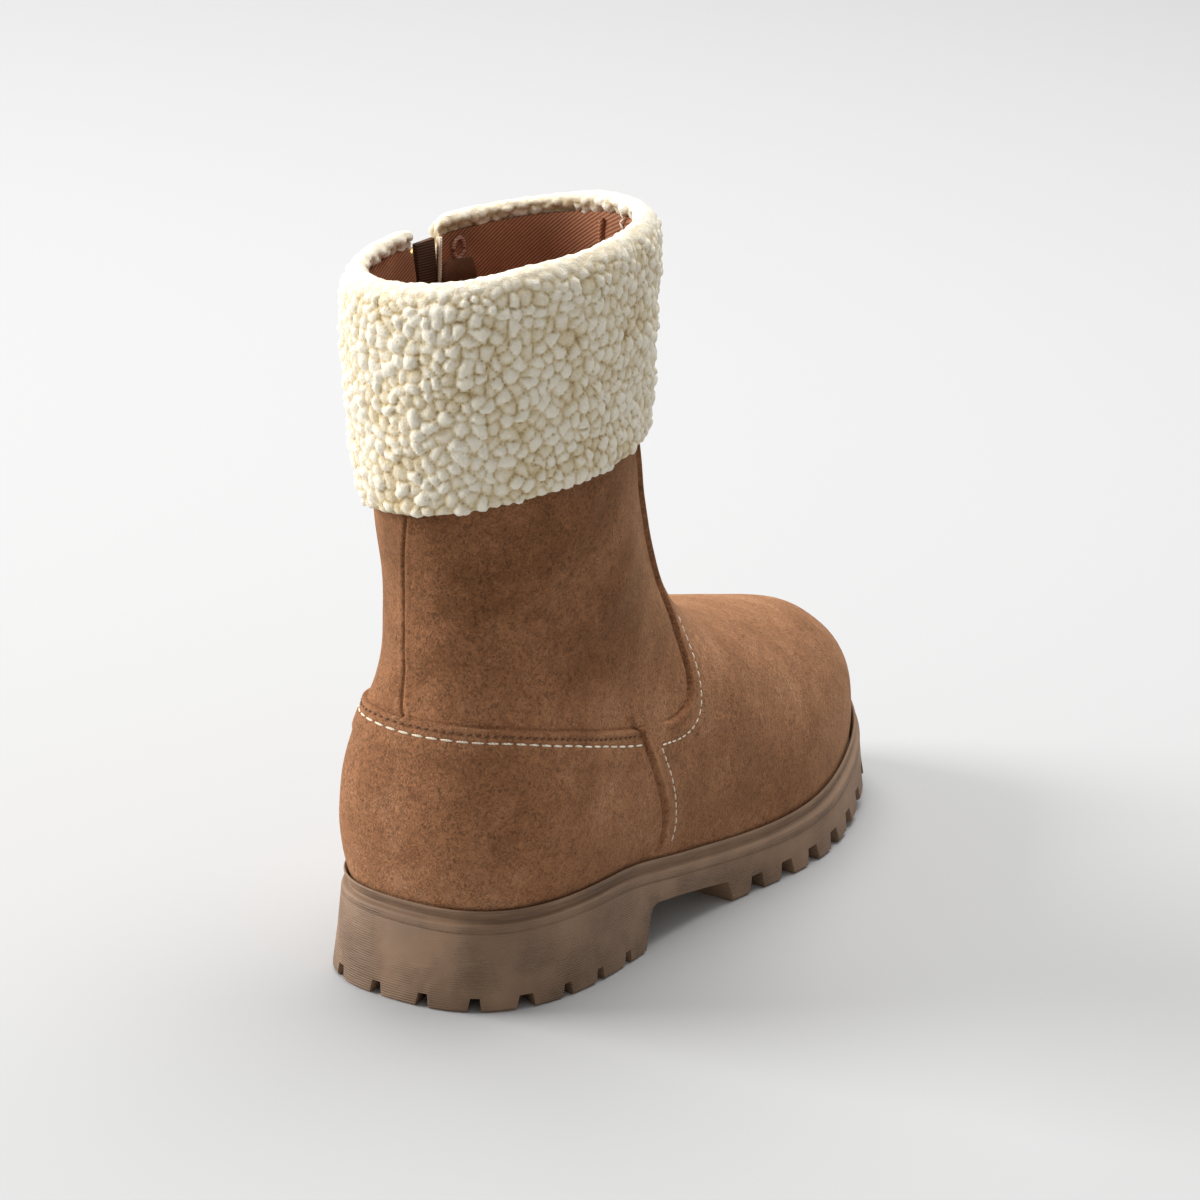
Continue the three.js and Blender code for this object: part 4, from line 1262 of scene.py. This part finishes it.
def build_zip():
    """The zip on the inner side: its tape and teeth, slider and pull."""
    chosen = bpy.context.scene.boot_zip
    tape = merged_copy("zip_chain")
    chain = BVHTree.FromBMesh(tape)
    bevelled(tape, sharp_edges(tape, 50), 0.3 * MM)
    finished("zip_tape", tape, [tape_finish("woven tape", "#5a3d2a", "#2e1d13")],
             stands_for=["zip_chain"], sharp=40)
    points = []
    for y, z in ZIP_LINE:
        hit = chain.ray_cast(Vector((-0.2, y * MM, z * MM)), Vector((1, 0, 0)))[0]
        if hit is not None:
            points.append(hit)
    line = Track(points, chain, 1.0 * MM)
    teeth = bmesh.new()
    count = int(line.run[-1] / (chosen.tooth_pitch / 2))
    for i in range(count):
        place, along, normal, side = line.at((i + 0.5) * chosen.tooth_pitch / 2)
        turn = Matrix((side, along, normal)).transposed().to_4x4()
        shift = side * (0.9 * MM * (1 if i % 2 else -1))
        move = Matrix.Translation(place + shift + normal * 0.25 * MM)
        size = Matrix.Diagonal((3.4 * MM, 1.05 * MM, 1.5 * MM, 1))
        made = bmesh.ops.create_cube(teeth, size=1.0, matrix=move @ turn @ size)
        edges = set(e for v in made["verts"] for e in v.link_edges)
        bevelled(teeth, list(edges), 0.22 * MM, segments=1, clamp=False)
    finished("zip_teeth", teeth, [brass_material()])
    for node, name, body in (("zip_slider", "zip_slider_cast", "boot"),
                             ("zip_pull", "zip_pull_tab", "pull_tab")):
        bm = merged_copy(node)
        bevelled(bm, sharp_edges(bm, 35), 0.25 * MM)
        finished(name, bm, [brass_material()], body=body, stands_for=[node],
                 sharp=40)


def tube(bm, points, radius, sides=8):
    """Adds a closed round tube along points to a bmesh, by extruding a disc."""
    ring = None
    for i, point in enumerate(points):
        ahead = points[min(i + 1, len(points) - 1)] - points[max(i - 1, 0)]
        turn = ahead.to_track_quat("Z", "Y").to_matrix().to_4x4()
        place = Matrix.Translation(point) @ turn
        if ring is None:
            made = bmesh.ops.create_circle(bm, cap_ends=True, segments=sides, radius=radius,
                                           matrix=place)
            ring = made["verts"][0].link_faces[0]
            ring.normal_flip()
            last = place
            continue
        grown = bmesh.ops.extrude_discrete_faces(bm, faces=[ring])
        ring = grown["faces"][0]
        move = place @ last.inverted()
        for vert in ring.verts:
            vert.co = move @ vert.co
        last = place


def strip_on(bm, surface, rows, off_wall, thickness, columns=14):
    """Adds a thin sheet that lies on the lining. rows: (z, first y, last y) in millimetres."""
    made = bmesh.ops.create_grid(bm, x_segments=columns, y_segments=len(rows) * 4, size=1.0)
    heights = [row[0] for row in rows]
    for vert in made["verts"]:
        across, up = (vert.co.x + 1) / 2, (vert.co.y + 1) / 2
        z = heights[0] + (heights[-1] - heights[0]) * up
        first = np.interp(z, heights, [row[1] for row in rows])
        last = np.interp(z, heights, [row[2] for row in rows])
        y = first + (last - first) * across
        start = Vector((-0.004, y * MM, z * MM))
        hit = surface.ray_cast(start, Vector((-1, 0, 0)))[0]
        if hit is None or hit.x > INNER_WALL_X / 2:
            hit = Vector((INNER_WALL_X, start.y, start.z))
        vert.co = hit + Vector((1, 0.1, 0)) * off_wall
    bmesh.ops.smooth_vert(bm, verts=made["verts"], factor=0.5, use_axis_x=True,
                          use_axis_y=False, use_axis_z=False)
    bmesh.ops.solidify(bm, geom=bm.faces[:], thickness=-thickness)
    bmesh.ops.recalc_face_normals(bm, faces=bm.faces)


def build_zip_guard(lining):
    """The flap of smooth suede behind the zip, its colours darkened with painted shade."""
    guard = bmesh.new()
    strip_on(guard, lining, ZIP_GUARD, GUARD_OFF_WALL, GUARD_THICKNESS)
    # Painted shade: these suede colours are darker than the upper's.
    finished("zip_guard", guard, [suede_finish("smooth backing suede with painted shade", "#8a5a3e", "#754a32",
                                               "#5f3b27", 0.4)])


def build_cord_and_loop(lining):
    """The white cord beside the zip, and the loop of tape above the flap."""
    cord = bmesh.new()
    path = []
    (low_y, low_z), (high_y, high_z) = CORD_ENDS
    for z in np.linspace(low_z, high_z, 24):
        y = np.interp(z, [low_z, high_z], [low_y, high_y])
        hit = lining.ray_cast(Vector((-0.004, y * MM, z * MM)), Vector((-1, 0, 0)))[0]
        x = hit.x if hit is not None and hit.x < -0.03 else CORD_WALL_X
        path.append(Vector((x + 2 * CORD_RADIUS, y * MM, z * MM)))
    tube(cord, path, CORD_RADIUS)
    finished("white_cord", cord, [thread_material()])
    loop = bmesh.new()
    path = []
    for turn in np.linspace(0, math.tau * 0.96, 22):
        path.append(LOOP_MIDDLE + Vector((
            LOOP_SIZE[0] * math.cos(turn), LOOP_SIZE[1] * math.cos(turn),
            LOOP_SIZE[2] * math.sin(turn))))
    tube(loop, path, LOOP_RADIUS)
    finished("tape_loop", loop, [tape_finish("pink-brown tape", "#b58a78", "#8f6654")])


def build_front_seam(lining):
    """The seam up the front of the lining, with a zigzag of stitches beside it."""
    seam = bmesh.new()
    path = []
    for z in np.linspace(*FRONT_SEAM, 30):
        hit, normal, _, _ = lining.ray_cast(Vector((0.001, -0.07, z * MM)),
                                            Vector((0.02, 1, 0)).normalized())
        if hit is not None and hit.y <= -0.01:
            path.append(hit + normal * 0.2 * MM)
    tube(seam, path, SEAM_RADIUS)
    finished("front_lining_seam", seam, [twill_material()])
    stitches = bmesh.new()
    across = Vector((0.9, -0.4, 0)).normalized()
    for i in range(ZIGZAG_COUNT):
        z = ZIGZAG_TOP - i * ZIGZAG_PITCH
        for lean in (-1, 1):
            start = Vector((-0.004, -0.075, (z - lean * 0.9) * MM))
            hit, normal, _, _ = lining.ray_cast(start, Vector((0.43, 1, 0)).normalized())
            if hit is None:
                continue
            along = (across + Vector((0, 0, 0.8 * lean))).normalized()
            bead(stitches, hit + normal * 0.25 * MM, along, normal,
                 (1.5 * MM, 0.38 * MM, 0.38 * MM))
    finished("lining_stitches", stitches, [thread_material()])


class BOOT_OT_zip(bpy.types.Operator):
    """Builds the zip's tape, teeth, slider and pull tab"""

    bl_idname = "boot.zip"
    bl_label = "Zip"

    def execute(self, context):
        build_zip()
        return {"FINISHED"}


class BOOT_OT_lining(bpy.types.Operator):
    """Builds what shows inside the collar: zip guard, cord, loop, front seam and stitches"""

    bl_idname = "boot.lining"
    bl_label = "Lining details"

    def execute(self, context):
        bm = merged_copy("upper")
        lining = BVHTree.FromBMesh(bm)
        bm.free()
        build_zip_guard(lining)
        build_cord_and_loop(lining)
        build_front_seam(lining)
        return {"FINISHED"}


def area_light(name, place, aim, size, power):
    """A soft rectangular white light."""
    data = bpy.data.lights.new(name, "AREA")
    data.shape = "RECTANGLE"
    data.size, data.size_y = size
    data.energy = power
    lamp = bpy.data.objects.new(name, data)
    bpy.context.scene.collection.objects.link(lamp)
    lamp.location = place
    lamp.rotation_euler = (Vector(aim) - Vector(place)).to_track_quat("-Z", "Y").to_euler()


def build_floor(colour):
    """The floor, a wide level card."""
    bm = bmesh.new()
    bmesh.ops.create_grid(bm, x_segments=2, y_segments=2, size=12)
    mesh = bpy.data.meshes.new("floor")
    bm.to_mesh(mesh)
    bm.free()
    floor = bpy.data.objects.new("floor", mesh)
    bpy.context.scene.collection.objects.link(floor)
    mesh.materials.append(card_finish("pale card", colour))


def build_world():
    """The even light from all round."""
    world = bpy.data.worlds.new("studio")
    bpy.context.scene.world = world
    world.use_nodes = True
    background = world.node_tree.nodes["Background"]
    background.inputs["Color"].default_value = linear("#f4f4f4")
    background.inputs["Strength"].default_value = 0.52


def build_camera(lens):
    """The camera, from its place and its three turns."""
    forward = Vector((-math.sin(CAMERA_YAW) * math.cos(CAMERA_PITCH),
                      math.cos(CAMERA_YAW) * math.cos(CAMERA_PITCH), -math.sin(CAMERA_PITCH)))
    right = Vector((math.cos(CAMERA_YAW), math.sin(CAMERA_YAW), 0))
    up = right.cross(forward)
    across = right * math.cos(CAMERA_ROLL) + up * math.sin(CAMERA_ROLL)
    upward = up * math.cos(CAMERA_ROLL) - right * math.sin(CAMERA_ROLL)
    data = bpy.data.cameras.new("camera")
    data.sensor_width = 36
    data.lens = lens
    data.clip_end = 50
    camera = bpy.data.objects.new("camera", data)
    bpy.context.scene.collection.objects.link(camera)
    turn = Matrix((across, upward, -forward)).transposed().to_4x4()
    camera.matrix_world = Matrix.Translation(CAMERA_PLACE) @ turn
    bpy.context.scene.camera = camera


class BOOT_OT_studio(bpy.types.Operator):
    """Builds the floor, the lights and the camera"""

    bl_idname = "boot.studio"
    bl_label = "Studio"

    def execute(self, context):
        chosen = context.scene.boot_studio
        build_floor(chosen.card)
        build_world()
        for light in LIGHTS:
            area_light(*light)
        build_camera(chosen.lens)
        context.scene.view_settings.view_transform = "Standard"
        return {"FINISHED"}


class BOOT_PT_panel(bpy.types.Panel):
    """Lists the boot's pieces and their settings"""

    bl_label = "Sheepskin boot"
    bl_idname = "BOOT_PT_panel"
    bl_space_type = "VIEW_3D"
    bl_region_type = "UI"
    bl_category = "Boot"

    def draw(self, context):
        for operator in OPERATORS:
            self.layout.operator(operator.bl_idname)
        for name, group in SETTINGS.items():
            box = self.layout.box()
            for key in group.__annotations__:
                box.prop(getattr(context.scene, name), key)


SETTINGS = {
    "boot_suede": SuedeSettings,
    "boot_fleece": FleeceSettings,
    "boot_sole": SoleSettings,
    "boot_zip": ZipSettings,
    "boot_studio": StudioSettings,
}
OPERATORS = [BOOT_OT_upper, BOOT_OT_cuff, BOOT_OT_sole, BOOT_OT_zip, BOOT_OT_lining,
             BOOT_OT_studio]


def register():
    """Registers the settings, the operators and the panel."""
    for name, group in SETTINGS.items():
        bpy.utils.register_class(group)
        setattr(bpy.types.Scene, name, bpy.props.PointerProperty(type=group))
    for kind in OPERATORS + [BOOT_PT_panel]:
        bpy.utils.register_class(kind)


def unregister():
    """Takes them away again."""
    for kind in reversed(OPERATORS + [BOOT_PT_panel]):
        bpy.utils.unregister_class(kind)
    for name, group in SETTINGS.items():
        delattr(bpy.types.Scene, name)
        bpy.utils.unregister_class(group)


def main():
    """Builds every piece."""
    register()
    for operator in OPERATORS:
        group, name = operator.bl_idname.split(".")
        getattr(getattr(bpy.ops, group), name)()


if __name__ == "__main__":
    main()
